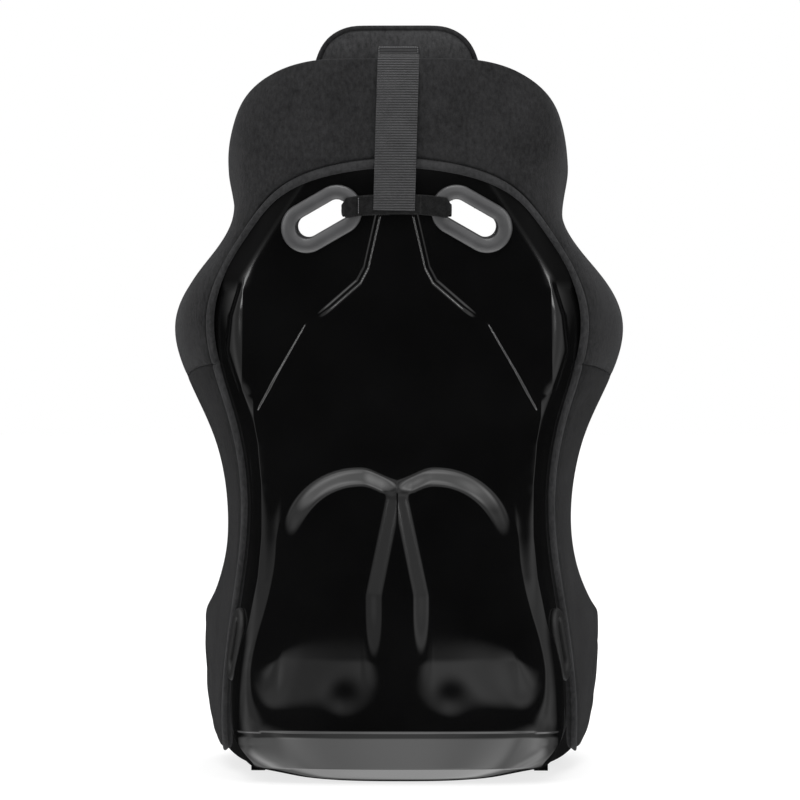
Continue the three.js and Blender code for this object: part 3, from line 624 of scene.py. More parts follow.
def carve(points, faces, holes):
    """Opens slots in a mesh of quads, with clean edges along their outlines."""
    points = points.copy()
    inside = np.zeros(len(points), bool)
    for matrix, slot in holes:
        local = moved(points, matrix.inverted()) / MM
        straight, radius = (slot["length"] - slot["width"]) / 2, slot["width"] / 2 + CUT_MARGIN
        middle = np.clip(local[:, 0], -straight, straight)
        reach = np.hypot(local[:, 0] - middle, local[:, 1])
        here = (reach < radius) & (np.abs(local[:, 2]) < CUT_REACH)
        scale = radius / np.maximum(reach, 1e-6)
        local[:, 0] = middle + (local[:, 0] - middle) * scale
        local[:, 1] *= scale
        points[here] = moved(local[here] * MM, matrix)
        inside |= here
    faces = faces[~inside[faces].all(axis=1)]
    used, renumbered = np.unique(faces, return_inverse=True)
    return points[used], renumbered.reshape(faces.shape)


def stadium(length, width, count=72):
    """Points and outward ways round a stadium, in mm."""
    straight, radius = (length - width) / 2, width / 2
    angle = np.linspace(-np.pi / 2, 1.5 * np.pi, count, endpoint=False) + np.pi / count
    way = np.stack([np.cos(angle), np.sin(angle)], axis=1)
    return way * radius + np.stack([np.sign(way[:, 0]) * straight, 0 * angle], axis=1), way


def slot_ring(name, matrix, slot, profile):
    """A ring round a slot, from a profile of (distance out of the opening, height) points."""
    base, way = stadium(slot["length"], slot["width"])
    profile = np.array(profile, dtype=float)
    flat = base[:, None] + way[:, None] * profile[None, :, :1]
    local = np.concatenate([flat, np.broadcast_to(profile[None, :, 1:], (*flat.shape[:2], 1))], axis=2) * MM
    faces = grid_faces(len(base), len(profile), close_rows=True, close_columns=True)
    return outward(new_object(name, moved(local.reshape(-1, 3), matrix), faces))


def bezel_profile(slot):
    """A domed ring on the shell that turns down into the tunnel."""
    low, wide = slot["lift"], slot["bezel"] + TUNNEL_WALL
    top = low + 3.4
    crown = [(wide * t, top - 2.6 + 4.2 * math.sin(math.pi * (0.08 + 0.84 * t)) ** 0.8)
             for t in np.linspace(0.03, 0.93, 16)]
    lip = [(wide - 0.5, top - 1.3), (wide, top - 2.4), (wide, low - 2.5), (wide - 2, low - 2.5)]
    inner = [(TUNNEL_WALL, low - 2.5), (TUNNEL_WALL, -slot["tunnel"]), (0, -slot["tunnel"])]
    mouth = [(0, -slot["tunnel"] / 2), (0, 0), (0.05, top - 2.4)]
    return [*mouth, *crown, *lip, *inner]


def collar_profile(tunnel):
    """A flat ring with a rounded outer edge that closes the tunnel's inner end."""
    wide, near = COLLAR_WIDTH, -tunnel - 0.4
    far = near - COLLAR_THICKNESS
    return [(0, near), (wide, near), (wide, far + 1), (wide - 0.4, far + 0.35), (wide - 1.2, far),
            (wide * 0.5, far - 0.5), (1.2, far), (0.3, far + 0.4), (0, far + 1.2)]


def add_slots():
    # The lap trims take the near-black copy of the slot plastic, painted shade that hides them in the dark
    # flank.
    kinds = (("shoulder", SHOULDER_MATRIX, SHOULDER_SLOT, PLASTIC),
             ("lap", LAP_MATRIX, LAP_SLOT, SHADED_SLOT_PLASTIC))
    for word, turn in (("right", Matrix.Identity(4)), ("left", MIRROR)):
        for kind, matrix, slot, plastic in kinds:
            trim = slot_ring(f"{kind}_trim_{word}", turn @ matrix, slot, bezel_profile(slot))
            place(trim, SHELL, "slot_plastic", plastic, f"{kind}_slot_trim_{word}")
            collar = slot_ring(f"{kind}_collar_{word}", turn @ matrix, slot, collar_profile(slot["tunnel"]))
            place(collar, SHELL, "slot_plastic", PLASTIC, f"{kind}_slot_collar_{word}")
    tunnel = CROTCH_SLOT["tunnel"]
    profile = [(0, -1.5), (TUNNEL_WALL, -1.5), (TUNNEL_WALL, -tunnel), (10, -tunnel), (10, -tunnel - 1.6),
               (9.2, -tunnel - 2.4), (5, -tunnel - 2.6), (1, -tunnel - 2.2), (0, -tunnel - 1)]
    trim = slot_ring("crotch_trim", CROTCH_MATRIX, CROTCH_SLOT, profile)
    place(trim, SHELL, "slot_plastic", PLASTIC, "crotch_slot_trim")


# ---- shell ----
SHELL_THICKNESS = 4.5


def shell_lines():
    half = lines((0, 1.3, 104), (1.3, 1.75, 26), (1.75, 2.6, 74), (2.6, RIM_U, 46))
    u = np.concatenate([-half[:0:-1], half])
    s = lines((0, 2.9, 40), (2.9, 5.4, 150), (5.4, 7.2, 70), (7.2, 11.6, 110), (11.6, 13.2, 60),
              (13.2, FRONT_S, 50))
    return u, s


def build_shell():
    uu, ss = np.meshgrid(*shell_lines())
    base, normal = surface(uu, ss), directions(uu, ss)[2]
    behind = smoothstep(-base[..., 1] / MM, 60, 110)
    points = base + normal * (relief(base) * behind * MM)[..., None]
    faces = grid_faces(*uu.shape)
    points, faces = carve(points.reshape(-1, 3), faces, SHOULDER_PAIR + LAP_PAIR + CROTCH)
    obj = outward(new_object("shell_visual", points, faces))
    apply_modifier(obj, "SOLIDIFY", thickness=SHELL_THICKNESS * MM, offset=-1)
    place(obj, SHELL, "shell_gloss", GELCOAT, "shell")


def rectangle(half_length, low, high):
    return [(-half_length, low), (half_length, low), (half_length, high), (-half_length, high)]


def runner(side):
    """The foot under a rear corner, with a pocket for the steel plate."""
    y = 80 + FORE_AFT_SHIFT
    x_in, x_out, pocket = 173, 191, 187.7
    outline, hole = rectangle(70, 0, 15), rectangle(64.3, 1.9, 12.9)
    loops = [(x_in, outline), (x_out, outline), (x_out, hole), (pocket, hole)]
    points = [(side * x * MM, (y + a) * MM, b * MM) for x, corners in loops for a, b in corners]
    faces = [(0, 1, 2, 3), (12, 13, 14, 15)]
    for k in range(4):
        n = (k + 1) % 4
        faces += [(row + k, row + n, row + 4 + n, row + 4 + k) for row in (0, 4, 8)]
    obj = outward(new_object("runner_" + ("right" if side > 0 else "left"), points, faces, False))
    apply_modifier(obj, "BEVEL", width=0.0008, segments=3, limit_method="ANGLE")
    place(obj, SHELL, "shell_gloss", GELCOAT)


# ---- cover ----
COVER_OFFSET = 3.7               # outer face of the cover over the shell
SIDE_SEAM_S = 6.0
ARCH_TOP_S, ARCH_FOOT_S = 2.15, 4.4
HEM_STEPS = [0, 0.25, 0.7, 1.4, 2.4, 3.6, 5, 6.6, 8.2, 9.6, 10.7, 11.4, 11.9, 12.4, 13.1, 14.2, 16, 19]


def arch_half_width(s):
    rise = np.clip((s - ARCH_TOP_S) / (ARCH_FOOT_S - ARCH_TOP_S), 0, 1)
    return HEM_U * (1 - (1 - rise) ** 2.6) ** 0.62


def between(start, end, near, cells):
    """u, s and mm from the start, along straight lines from start to end."""
    t = np.linspace(0, 1, 161)
    uv = start[:, None] + (end - start)[:, None] * t[None, :, None]
    points = surface(uv[..., 0], uv[..., 1]) / MM
    far = lengths(points, axis=1)
    columns = []
    for row in range(len(start)):
        total = far[row, -1]
        close = np.array(near) * min(1, 0.5 * total / near[-1])
        distance = np.concatenate([close, close[-1] + (total - close[-1]) * np.linspace(0, 1, cells + 1)[1:]])
        part = np.interp(distance, far[row], t)
        columns.append(np.column_stack([start[row, 0] + (end[row, 0] - start[row, 0]) * part,
                                        start[row, 1] + (end[row, 1] - start[row, 1]) * part, distance]))
    grid = np.array(columns)
    return grid[..., 0], grid[..., 1], grid[..., 2]


def rolled_hem(distance):
    """Height of the cover over its first millimetres: a padded roll and then a sewn line."""
    edge = np.sqrt(np.clip(1 - (1 - np.clip(distance / 2.2, 0, 1)) ** 2, 0, 1))
    roll = 2.6 * np.sin(np.pi * np.clip(distance / 12, 0, 1)) ** 0.7
    seam = -3.4 * np.exp(-((distance - 12.2) / 1.3) ** 2)
    return COVER_OFFSET * edge + roll + seam + 1.6 * smoothstep(distance, 12.5, 26)


def folds(points):
    """Creases of the cover: soft ones all over, and slanting folds low on the thigh bolsters."""
    x, y, z = (points[..., k] / MM for k in range(3))
    soft = 0.5 * ripple(points, 0.11, 3)
    low = smoothstep(y, 60, 170) * smoothstep(190 - z, 0, 60) * smoothstep(290 - y, 0, 40)
    wave = np.sin((z * 0.9 - y * 0.42) / 5.2 + 1.6 * ripple(points, 0.12, 8))
    strength = 0.5 + 0.5 * ripple(points, 0.08, 11)
    return soft + low * 1.9 * np.clip(wave, -0.4, 1) * np.clip(strength, 0, 1)


def wrapped(u, s, height):
    """A cover's rows, from its hem over the shell and round the edge to the inside of the seat."""
    skin = on_shell(u, s, height, smooth=True)
    edge = surface(u[:, -1], s[:, -1])
    before = surface(u[:, -3], s[:, -3])
    normal = directions(u[:, -1], s[:, -1])[2]
    past = unit(edge - before)
    top, low = COVER_OFFSET + 0.9, -8.2
    rows = [skin]
    for angle in np.linspace(0.22, np.pi - 0.12, 7):
        reach = 3.6 * math.sin(angle) ** 0.8
        offset = (top + low) / 2 + (top - low) / 2 * math.cos(angle)
        rows.append((edge + past * reach * MM + normal * offset * MM)[:, None])
    for inward, offset in ((2, low), (7, low + 0.3), (13, low + 1.6), (16, low + 3)):
        rows.append((edge - past * inward * MM + normal * offset * MM)[:, None])
    return np.concatenate(rows, axis=1)


def seam_end(position, distance_mm):
    """Pulls a cover down where it is sewn to its neighbour."""
    near = np.clip(distance_mm / 5, 0, 1)
    pucker = 0.5 * np.exp(-distance_mm / 7) * (0.5 + 0.5 * np.sin(position / 4.5))
    return -2.0 * (1 - np.sqrt(1 - (1 - near) ** 2)) - pucker


def upper_cover():
    half = lines((0, 0.5, 90), (0.5, 0.97, 80), (0.97, 1, 14))
    t = np.concatenate([-half[:0:-1], half])
    way = np.abs(t)
    hem_s = ARCH_TOP_S + (SIDE_SEAM_S - ARCH_TOP_S) * way ** 1.6
    hem = np.column_stack([np.sign(t) * arch_half_width(hem_s), hem_s])
    corner = 0.5
    rim_u = RIM_U * np.clip(way / corner, 0, 1) * np.sign(t)
    rim_s = SIDE_SEAM_S * np.clip((way - corner) / (1 - corner), 0, 1)
    u, s, distance = between(hem, np.column_stack([rim_u, rim_s]), HEM_STEPS, 64)
    base = surface(u, s)
    ends = lengths(base / MM)
    to_end = np.minimum(ends, ends[-1:] - ends)
    height = rolled_hem(distance) + folds(base) * smoothstep(distance, 14, 30) + seam_end(distance, to_end)
    skin = wrapped(u, s, height)
    cover = new_object("cover_upper_visual", *flat_grid(skin))
    place(cover, SHELL, "cover_velour", VELOUR, "cover_upper")
    painted_highlight_hem(cover, skin.shape[1])
    threads = seam_line(u, s, distance, height, "hem_stitches_upper")


def flat_grid(points):
    return points.reshape(-1, 3), grid_faces(*points.shape[:2])


def painted_highlight_hem(cover, columns):
    """Gives the rolled hem a lighter copy of the cover velour: a painted highlight where the roll catches the
    light.
    """
    cover.data.materials.append(LIT_HEM_VELOUR)
    edge = sum(1 for step in HEM_STEPS if step < 11.6)
    face = np.arange(len(cover.data.polygons)) % (columns - 1)
    cover.data.polygons.foreach_set("material_index", (face < edge).astype(int))


def seam_line(u, s, distance, height, name, at=11.9):
    column = int(np.argmin(np.abs(distance[len(distance) // 2] - at)))
    line = on_shell(u[:, column], s[:, column], height[:, column] + 0.5, smooth=True)
    normals = directions(u[:, column], s[:, column])[2]
    threads = stitches(name, line, normals, 2.6 * MM, 1.3 * MM, 0.32 * MM)
    return place(threads, SHELL, "cover_velour", DARK_THREAD)


def side_cover(side):
    word = "right" if side > 0 else "left"
    below_seam, near_front = SIDE_SEAM_S + 0.2, FRONT_S - 1.4
    rows = lines((SIDE_SEAM_S, below_seam, 14), (below_seam, near_front, 190), (near_front, FRONT_S, 34))
    hem = np.column_stack([side * np.full(len(rows), float(HEM_U)), rows])
    rim = np.column_stack([side * np.full(len(rows), float(RIM_U)), rows])
    u, s, distance = between(hem, rim, HEM_STEPS, 44)
    base = surface(u, s)
    height = rolled_hem(distance) + folds(base) * smoothstep(distance, 13, 26)
    height += seam_end(distance, lengths(base / MM))
    skin = wrapped(u, s, height)
    cover = new_object(f"cover_side_{word}_visual", *flat_grid(skin))
    # The side covers take the darker copy of the velour, painted shade.
    place(cover, SHELL, "cover_velour", SHADED_SIDE_VELOUR, f"cover_side_{word}")
    painted_highlight_hem(cover, skin.shape[1])
    threads = seam_line(u, s, distance, height, f"hem_stitches_{word}")


def front_cover():
    across = lines((-RIM_U, RIM_U, 240))
    hem = np.column_stack([across, np.full(len(across), FRONT_S - 0.5)])
    lip = np.column_stack([across, np.full(len(across), float(FRONT_S))])
    u, s, distance = between(hem, lip, HEM_STEPS, 12)
    base = surface(u, s)
    height = rolled_hem(distance) + folds(base) * smoothstep(distance, 13, 26) + 0.8
    cover = new_object("cover_front_visual", *flat_grid(wrapped(u, s, height)))
    place(cover, SHELL, "cover_velour", SHADED_SIDE_VELOUR, "cover_front")


# ---- foam pads ----
PAD_BASE = SHELL_THICKNESS + 1


def eased(cells):
    """Steps from 0 to 1, shorter near both ends."""
    even = np.linspace(0, 1, cells + 1)
    return 0.6 * (0.5 - 0.5 * np.cos(np.pi * even)) + 0.4 * even


def pad_grid(u_range, s_range, cells):
    a, b = np.meshgrid(eased(cells[0]), eased(cells[1]))
    return a, b, u_range[0] + (u_range[1] - u_range[0]) * a, s_range[0] + (s_range[1] - s_range[0]) * b


def crowned(a, b, edge, crown):
    """Thickness of foam at shares a and b of its grid, from its edge to the crown in its middle."""
    return edge + (crown - edge) * np.sin(np.pi * a) ** 0.6 * np.sin(np.pi * b) ** 0.3


def rounded(near, least):
    """Share of the full thickness, from the least at the edge to 1 where near reaches 1."""
    return least + (1 - least) * np.sqrt(1 - (1 - near) ** 2)


def edge_distance(points):
    """Distance in mm of each grid point from the nearest edge of the grid, and along it."""
    across, along = lengths(points / MM, axis=1), lengths(points / MM)
    to_side = np.minimum(across, across[:, -1:] - across)
    to_end = np.minimum(along, along[-1:] - along)
    return np.minimum(to_side, to_end), across, along


def pad(name, node, u_range, s_range, edge, crown, cells, holes=(), channels=(), seed=1, base=PAD_BASE,
        slot_name="pad_velour", material=None, round_mm=9):
    """A foam pad in velour on the inside of the shell: crowned, rounded at its edges and sewn."""
    a, b, u, s = pad_grid(u_range, s_range, cells)
    floor = on_shell(u, s, -base)
    distance, across, along = edge_distance(floor)
    thickness = crowned(a, b, edge, crown) * rounded(np.clip(distance / round_mm, 0, 1), 0.12)
    thickness -= 1.3 * np.exp(-((distance - 15) / 1.3) ** 2)
    for kind, at in channels:
        far, size = (across, across[:, -1:]) if kind == "across" else (along, along[-1:])
        thickness -= 5.5 * np.exp(-np.abs(far - at * size) / 4) * smoothstep(distance, 6, 18)
    thickness += (0.5 * ripple(floor, 0.09, seed) - 0.3) * smoothstep(distance, 4, 20)
    top = on_shell(u, s, -base - np.maximum(thickness, 0.6))
    vertices = np.concatenate([top.reshape(-1, 3), floor.reshape(-1, 3)])
    faces = slab_faces(*a.shape)
    if holes:
        vertices, faces = carve(vertices, faces, holes)
    obj = outward(new_object(name, vertices, faces))
    place(obj, SHELL, slot_name, material or PAD_VELOUR, node)


# The side pads from the head down: piece, node, s range, edge and crown in mm, cells.
SIDE_PADS = [
    ("head_wing", "head_wing_pad", (0.23, 3.37), 9, 20, (60, 70)),
    ("shoulder_bolster", "shoulder_bolster", (3.43, 5.97), 12, 34, (64, 64)),
    ("torso_bolster", "torso_bolster", (6.03, 9.17), 12, 32, (64, 70)),
    ("hip_pad", "hip_pad", (9.23, 11.97), 10, 22, (90, 80)),
    ("thigh_bolster", "thigh_bolster", (12.03, FRONT_S - 0.23), 10, 34, (64, 90)),
]
BACK_PAD_CROWN = 17


def add_pads():
    middle, sides = (-1.96, 1.96), (2.06, 3.84)
    pad("head_pad_visual", "head_pad", middle, (0.2, 1.47), 12, 18, (70, 36))
    seams = [("across", 0.27), ("across", 0.73)]
    seams += [("along", k) for k in (0.36, 0.46, 0.56, 0.66, 0.76)]
    pad("back_pad_visual", "back_pad", middle, (1.53, 11.47), 14, BACK_PAD_CROWN, (160, 330),
        SHOULDER_PAIR, seams)
    pad("pan_pad_visual", "pan_pad", middle, (11.53, FRONT_S - 0.2), 9, 13, (90, 110), CROTCH)
    for side, word, lap in ((1, "right", LAP_PAIR[:1]), (-1, "left", LAP_PAIR[1:])):
        across = (side * sides[0], side * sides[1])
        for seed, (piece, node, s_range, edge, crown, cells) in enumerate(SIDE_PADS, start=2):
            holes = lap if piece == "hip_pad" else ()
            pad(f"{piece}_{word}_visual", f"{node}_{word}", across, s_range, edge, crown, cells,
                holes, seed=seed)
    on_back_pad = PAD_BASE + BACK_PAD_CROWN + 0.4
    pad("lumbar_patch_visual", "lumbar_patch", (-1, 1), (8.5, 9.5), 0.9, 1.0, (24, 16), base=on_back_pad,
        slot_name="hook_and_loop", material=TAPE, round_mm=1.5)


# ---- loose cushions ----
def vertex_values(obj, key):
    """The vertices' places ("co") or normals ("normal")."""
    flat = np.empty(len(obj.data.vertices) * 3)
    obj.data.vertices.foreach_get(key, flat)
    return flat.reshape(-1, 3)


def set_coordinates(obj, points):
    obj.data.vertices.foreach_set("co", points.ravel())
    obj.data.update()


def cloth_inflated(obj, voxel, cap):
    """Swells a closed mesh like stuffed fabric, moving no point further than the cap in mm."""
    apply_modifier(obj, "REMESH", mode="VOXEL", voxel_size=voxel * MM)
    before = vertex_values(obj, "co")
    modifier = obj.modifiers.new("cloth", "CLOTH")
    settings = modifier.settings
    settings.quality = 5
    settings.mass = 0.3
    settings.use_pressure = True
    settings.uniform_pressure_force = 4.0
    settings.tension_stiffness = settings.compression_stiffness = 15
    settings.effector_weights.gravity = 0
    modifier.collision_settings.use_collision = False
    modifier.collision_settings.use_self_collision = False
    first, last = 1, 20
    modifier.point_cache.frame_start, modifier.point_cache.frame_end = first, last
    scene = bpy.context.scene
    for frame_number in range(first, last + 1):
        scene.frame_set(frame_number)
    after = vertex_values(obj.evaluated_get(bpy.context.evaluated_depsgraph_get()), "co")
    obj.modifiers.remove(modifier)
    scene.frame_set(first)
    move = after - before
    far = np.linalg.norm(move, axis=1, keepdims=True)
    set_coordinates(obj, before + move * np.minimum(1, cap * MM / np.maximum(far, 1e-9)))


def finished_cushion(obj, name, node, body):
    apply_modifier(obj, "SMOOTH", factor=0.5, iterations=4)
    apply_modifier(obj, "SUBSURF", levels=1, render_levels=1)
    obj.data.polygons.foreach_set("use_smooth", [True] * len(obj.data.polygons))
    obj.name = name
    place(obj, body, "cushion_velour", CUSHION_VELOUR, node)


def cushion_block(u_range, s_range, base, edge, crown, inset, cells):
    """Grids of the top and underside of a cushion that lies along the shell."""
    a, b, u, s = pad_grid(u_range, s_range, cells)
    floor = -base - inset
    distance = edge_distance(on_shell(u, s, floor))[0]
    full = crowned(a, b, edge, crown) - 2 * inset
    near = np.clip(distance / 12, 0, 1)
    thickness = full * rounded(near, 0.35)
    lift = full * 0.18 * (1 - near) ** 2
    return on_shell(u, s, floor - np.maximum(thickness, 3)), on_shell(u, s, floor - lift)


def cut_through(obj, length, width, low, high):
    """Cuts a stadium-shaped hole where the crotch straps pass, from low to high in mm."""
    count = 48
    hole, _ = stadium(length, width, count)
    points = np.concatenate([np.column_stack([hole, np.full(count, z)]) for z in (low, high)]) * MM
    faces = [(k, (k + 1) % count, count + (k + 1) % count, count + k) for k in range(count)]
    faces += [list(range(count)), list(range(2 * count - 1, count - 1, -1))]
    cutter = outward(new_object("hole_cutter", moved(points, CROTCH_MATRIX), faces))
    apply_modifier(obj, "BOOLEAN", operation="DIFFERENCE", object=cutter, solver="EXACT")
    bpy.data.objects.remove(cutter)


def sew(obj, x_lines, depth):
    """Sews lines that run fore and aft into a cushion, at each x in mm."""
    points, normals = vertex_values(obj, "co"), vertex_values(obj, "normal")
    for x in x_lines:
        sunk = depth * np.exp(-((points[:, 0] / MM - x) / 3.2) ** 2)
        points = points - normals * (sunk * MM)[:, None]
    set_coordinates(obj, points)


def seat_cushion():
    base, front = PAD_BASE + 13 + 1.5, FRONT_S - 0.52
    obj = slab("seat_cushion_soft", *cushion_block((-1.66, 1.66), (13.68, front), base, 26, 40, 3, (60, 60)))
    cut_through(obj, 98, 52, -160, 40)
    cloth_inflated(obj, 5, 5)
    sew(obj, (-92, 92), 2.2)
    finished_cushion(obj, "seat_cushion_visual", "seat_cushion", SEAT_BODY)


def lumbar_cushion():
    base = PAD_BASE + BACK_PAD_CROWN + 6
    obj = slab("lumbar_soft", *cushion_block((-1.46, 1.46), (8.16, 9.84), base, 10, 24.8, 4, (60, 40)))
    cloth_inflated(obj, 4.5, 4)
    sew(obj, (-46, 46), 1.6)
    finished_cushion(obj, "lumbar_cushion_visual", "lumbar_cushion", LUMBAR_BODY)


# ---- head pillow ----
PILLOW_REAR = -243 + FORE_AFT_SHIFT
PILLOW_MIDDLE = 845


def curve(start, control, end, count):
    t = np.linspace(0, 1, count, endpoint=False)[:, None]
    start, control, end = map(np.array, (start, control, end))
    return (1 - t) ** 2 * start + 2 * t * (1 - t) * control + t ** 2 * end


def pillow_outline(inset):
    """The pillow's outline in x, z from the middle of its bottom edge round by the right."""
    top, bottom = 931, 748
    right = np.concatenate([
        np.column_stack([np.linspace(0, 84, 12, endpoint=False), np.full(12, bottom)]),
        curve((84, bottom), (112, bottom), (112, bottom + 30), 10),
        curve((112, bottom + 30), (110, 850), (98, 890), 22),
        curve((98, 890), (88, top - 5), (50, top), 14),
        np.column_stack([np.linspace(50, 0, 6), np.full(6, top)])])
    left = right[-2:0:-1] * [-1, 1]
    outline = np.concatenate([right, left])
    for _ in range(2):
        outline = (np.roll(outline, 1, axis=0) + 2 * outline + np.roll(outline, -1, axis=0)) / 4
    along = unit(np.roll(outline, -1, axis=0) - np.roll(outline, 1, axis=0))
    inward = np.column_stack([-along[:, 1], along[:, 0]])
    return outline + inward * inset


def upright(outline, y):
    """An outline in x, z stood up at one y."""
    return np.column_stack([outline[:, 0], np.full(len(outline), y), outline[:, 1]])


def domed(name, rings):
    """A closed solid from rings of (outline, y), first to last, closed at both ends."""
    points = np.array([upright(ring, y) for ring, y in rings]) * MM
    rows, columns = points.shape[:2]
    faces = grid_faces(rows, columns, close_columns=True).tolist()
    faces += [list(range(columns)), [(rows - 1) * columns + c for c in reversed(range(columns))]]
    return outward(new_object(name, points.reshape(-1, 3), faces))


def shrunk(outline, share):
    middle = np.array([0, PILLOW_MIDDLE])
    return middle + (outline - middle) * share


def head_pillow():
    outline = pillow_outline(4)
    rear = PILLOW_REAR + 8
    rings = [(shrunk(outline, share), rear + 2 * (1 - share)) for share in (0.3, 0.6, 0.85, 0.97)]
    rings.append((outline, rear + 4))
    for angle in np.linspace(0.12, 1.45, 9):
        rings.append((shrunk(outline, 0.72 + 0.28 * math.cos(angle)), rear + 6 + 30 * math.sin(angle) ** 0.8))
    rings += [(shrunk(outline, share), rear + 36 + 3 * (0.7 - share)) for share in (0.6, 0.4, 0.2)]
    obj = domed("pillow_soft", rings)
    cloth_inflated(obj, 5, 5)
    points = vertex_values(obj, "co")
    points[:, 1] = np.maximum(points[:, 1], (PILLOW_REAR + 4.2) * MM)
    set_coordinates(obj, points)
    finished_cushion(obj, "head_pillow_visual", "head_pillow", PILLOW_BODY)


def pillow_back():
    """The pillow's back: a velour panel inside a rolled welt, with a sunk seam between them."""
    rim = [(4.9, 3.6), (5.0, 2.7), (6.6, 1.5), (9.5, 0.4)]
    panel = [(pillow_outline(inset), PILLOW_REAR + height) for inset, height in rim]
    field = pillow_outline(rim[-1][0])
    panel += [(shrunk(field, share), PILLOW_REAR + 0.3 - 0.6 * (1 - share))
              for share in (0.9, 0.7, 0.5, 0.25, 0.06)]
    obj = domed("pillow_panel_visual", panel)
    place(obj, PILLOW_BODY, "pillow_panel_velour", PANEL_VELOUR, "pillow_back_panel")
    welt_line = upright(pillow_outline(2.9), PILLOW_REAR + 2.9) * MM
    welt = closed_tube("pillow_welt", welt_line, 3.1 * MM, 12, up=(0, 1, 0))
    place(welt, PILLOW_BODY, "cushion_velour", CUSHION_VELOUR, "pillow_binding")
    threads = rear_stitches("pillow_stitches", upright(pillow_outline(6.9), PILLOW_REAR + 1.2), 2.4, 1.4, 0.3)
    place(threads, PILLOW_BODY, "pillow_panel_velour", DARK_THREAD)


# ---- straps ----
STRAP_OFFSET, WEBBING_WIDTH = 10.3, 50


def ribbon(name, centre, normals, width, thickness, columns, ribs):
    """A flat tape along a line, with zigzag ribs across its outer face."""
    rib_pitch, knit_pitch = 3.1, 2.3
    side = unit(np.cross(unit(np.gradient(centre, axis=0)), normals))
    far = lengths(centre)[:, None] / MM
    t = np.linspace(-1, 1, columns)[None, :]
    x = t * width / 2
    zigzag = 0.9 * np.abs((x / knit_pitch) % 2 - 1)
    rib = ribs * np.abs(np.sin(np.pi * (far + zigzag) / rib_pitch)) ** 0.8
    knit = 0.25 * ribs * np.sin(2 * np.pi * x / knit_pitch)
    rounded_edge = np.sqrt(np.clip(1 - np.abs(t) ** 10, 0, 1))
    low = centre[:, None] + side[:, None] * (x * MM)[..., None]
    rise = (thickness * rounded_edge + rib + knit) * MM
    return slab(name, low + normals[:, None] * rise[..., None], low)


def strap_line():
    """Centre line of the pillow's strap and its outward normals: band, back, top edge, pillow."""
    s = np.arange(3, 0.2, -0.4)
    back = on_shell(0 * s, s, STRAP_OFFSET)[:, 1:] / MM
    back[:, 0] -= FORE_AFT_SHIFT
    over = np.array([(-268, 888), (-263, 893), (-255, 893.4), (-248.5, 893.4)])
    profile = np.concatenate([back, over])
    profile[:, 0] += FORE_AFT_SHIFT
    far = lengths(profile)
    y, z = resampled(profile, far, np.arange(0, far[-1], 0.45)).T
    for _ in range(30):
        y[1:-1] = (y[:-2] + 2 * y[1:-1] + y[2:]) / 4
        z[1:-1] = (z[:-2] + 2 * z[1:-1] + z[2:]) / 4
    x = np.interp(z, [700, 890], [-3.1, 2.4])
    centre = np.column_stack([x, y, z]) * MM
    along = unit(np.gradient(centre, axis=0))
    normals = unit(np.cross(along, np.array([-1.0, 0, 0])))
    return centre, normals


def pillow_strap():
    centre, normals = strap_line()
    strap = ribbon("pillow_strap_visual", centre, normals, WEBBING_WIDTH, 0.9, 66, ribs=0.8)
    strap.data.materials.append(WEBBING)
    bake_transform(strap)
    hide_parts("pillow_strap")


def tape_patch(name, x_range, z_range, y, thick, tilt=0.0):
    """A flat piece of tape that looks straight back, with softened edges."""
    (x0, x1), (z0, z1) = x_range, z_range
    a, b = np.meshgrid(np.linspace(0, 1, 24), np.linspace(0, 1, 12))
    x, z = x0 + (x1 - x0) * a, z0 + (z1 - z0) * b + tilt * (a - 0.5)
    rim = np.minimum(np.minimum(a, 1 - a) * (x1 - x0), np.minimum(b, 1 - b) * (z1 - z0))
    swell = thick * np.sqrt(np.clip(1 - (1 - np.clip(rim / 0.9, 0, 1)) ** 2, 0.04, 1))
    outer, inner = (np.stack([x, face, z], axis=-1) * MM for face in (y - swell, 0 * a + y))
    return slab(name, outer, inner)


def pillow_tab():
    rear = PILLOW_REAR - 0.2
    tab = tape_patch("strap_tab_visual", (-22.4, 26.2), (894.5, 905.5), rear, 1.8)
    place(tab, PILLOW_BODY, "webbing", WEBBING, "strap_tab")
    strip = tape_patch("hook_strip_visual", (-21.5, 25.5), (872, 894.4), rear, 1.2)
    place(strip, PILLOW_BODY, "hook_and_loop", HOOKS, "hook_strip")
    corners = np.array([(-21.6, 895.6), (-21.8, 904.6), (25.6, 904.6), (25.4, 895.6)])
    share = np.linspace(0, 1, 24, endpoint=False)[:, None]
    sides = [start + (end - start) * share for start, end in zip(corners, corners[1:])]
    threads = rear_stitches("tab_stitches", upright(np.concatenate(sides), rear - 1.9), 2.2, 0.7, 0.42)
    place(threads, PILLOW_BODY, "webbing", PALE_THREAD)


BAND_Z = 706
BAND_HALF_LENGTH, BAND_DEPTH, BAND_CORNER = 66, 50, 5


def band_outline(rear):
    """x and y round the band, evenly spaced, seen from above."""
    side, front = BAND_HALF_LENGTH - BAND_CORNER, rear + BAND_DEPTH - BAND_CORNER
    middles = [(side, front), (-side, front), (-side, rear + BAND_CORNER), (side, rear + BAND_CORNER)]
    angles = [np.radians(np.linspace(start, start + 90, 8)) for start in (0, 90, 180, 270)]
    outline = [(x + BAND_CORNER * math.cos(angle), y + BAND_CORNER * math.sin(angle))
               for (x, y), turn in zip(middles, angles) for angle in turn]
    outline = np.array(outline + outline[:1])
    far = lengths(outline)
    return resampled(outline, far, np.linspace(0, far[-1], 320, endpoint=False))


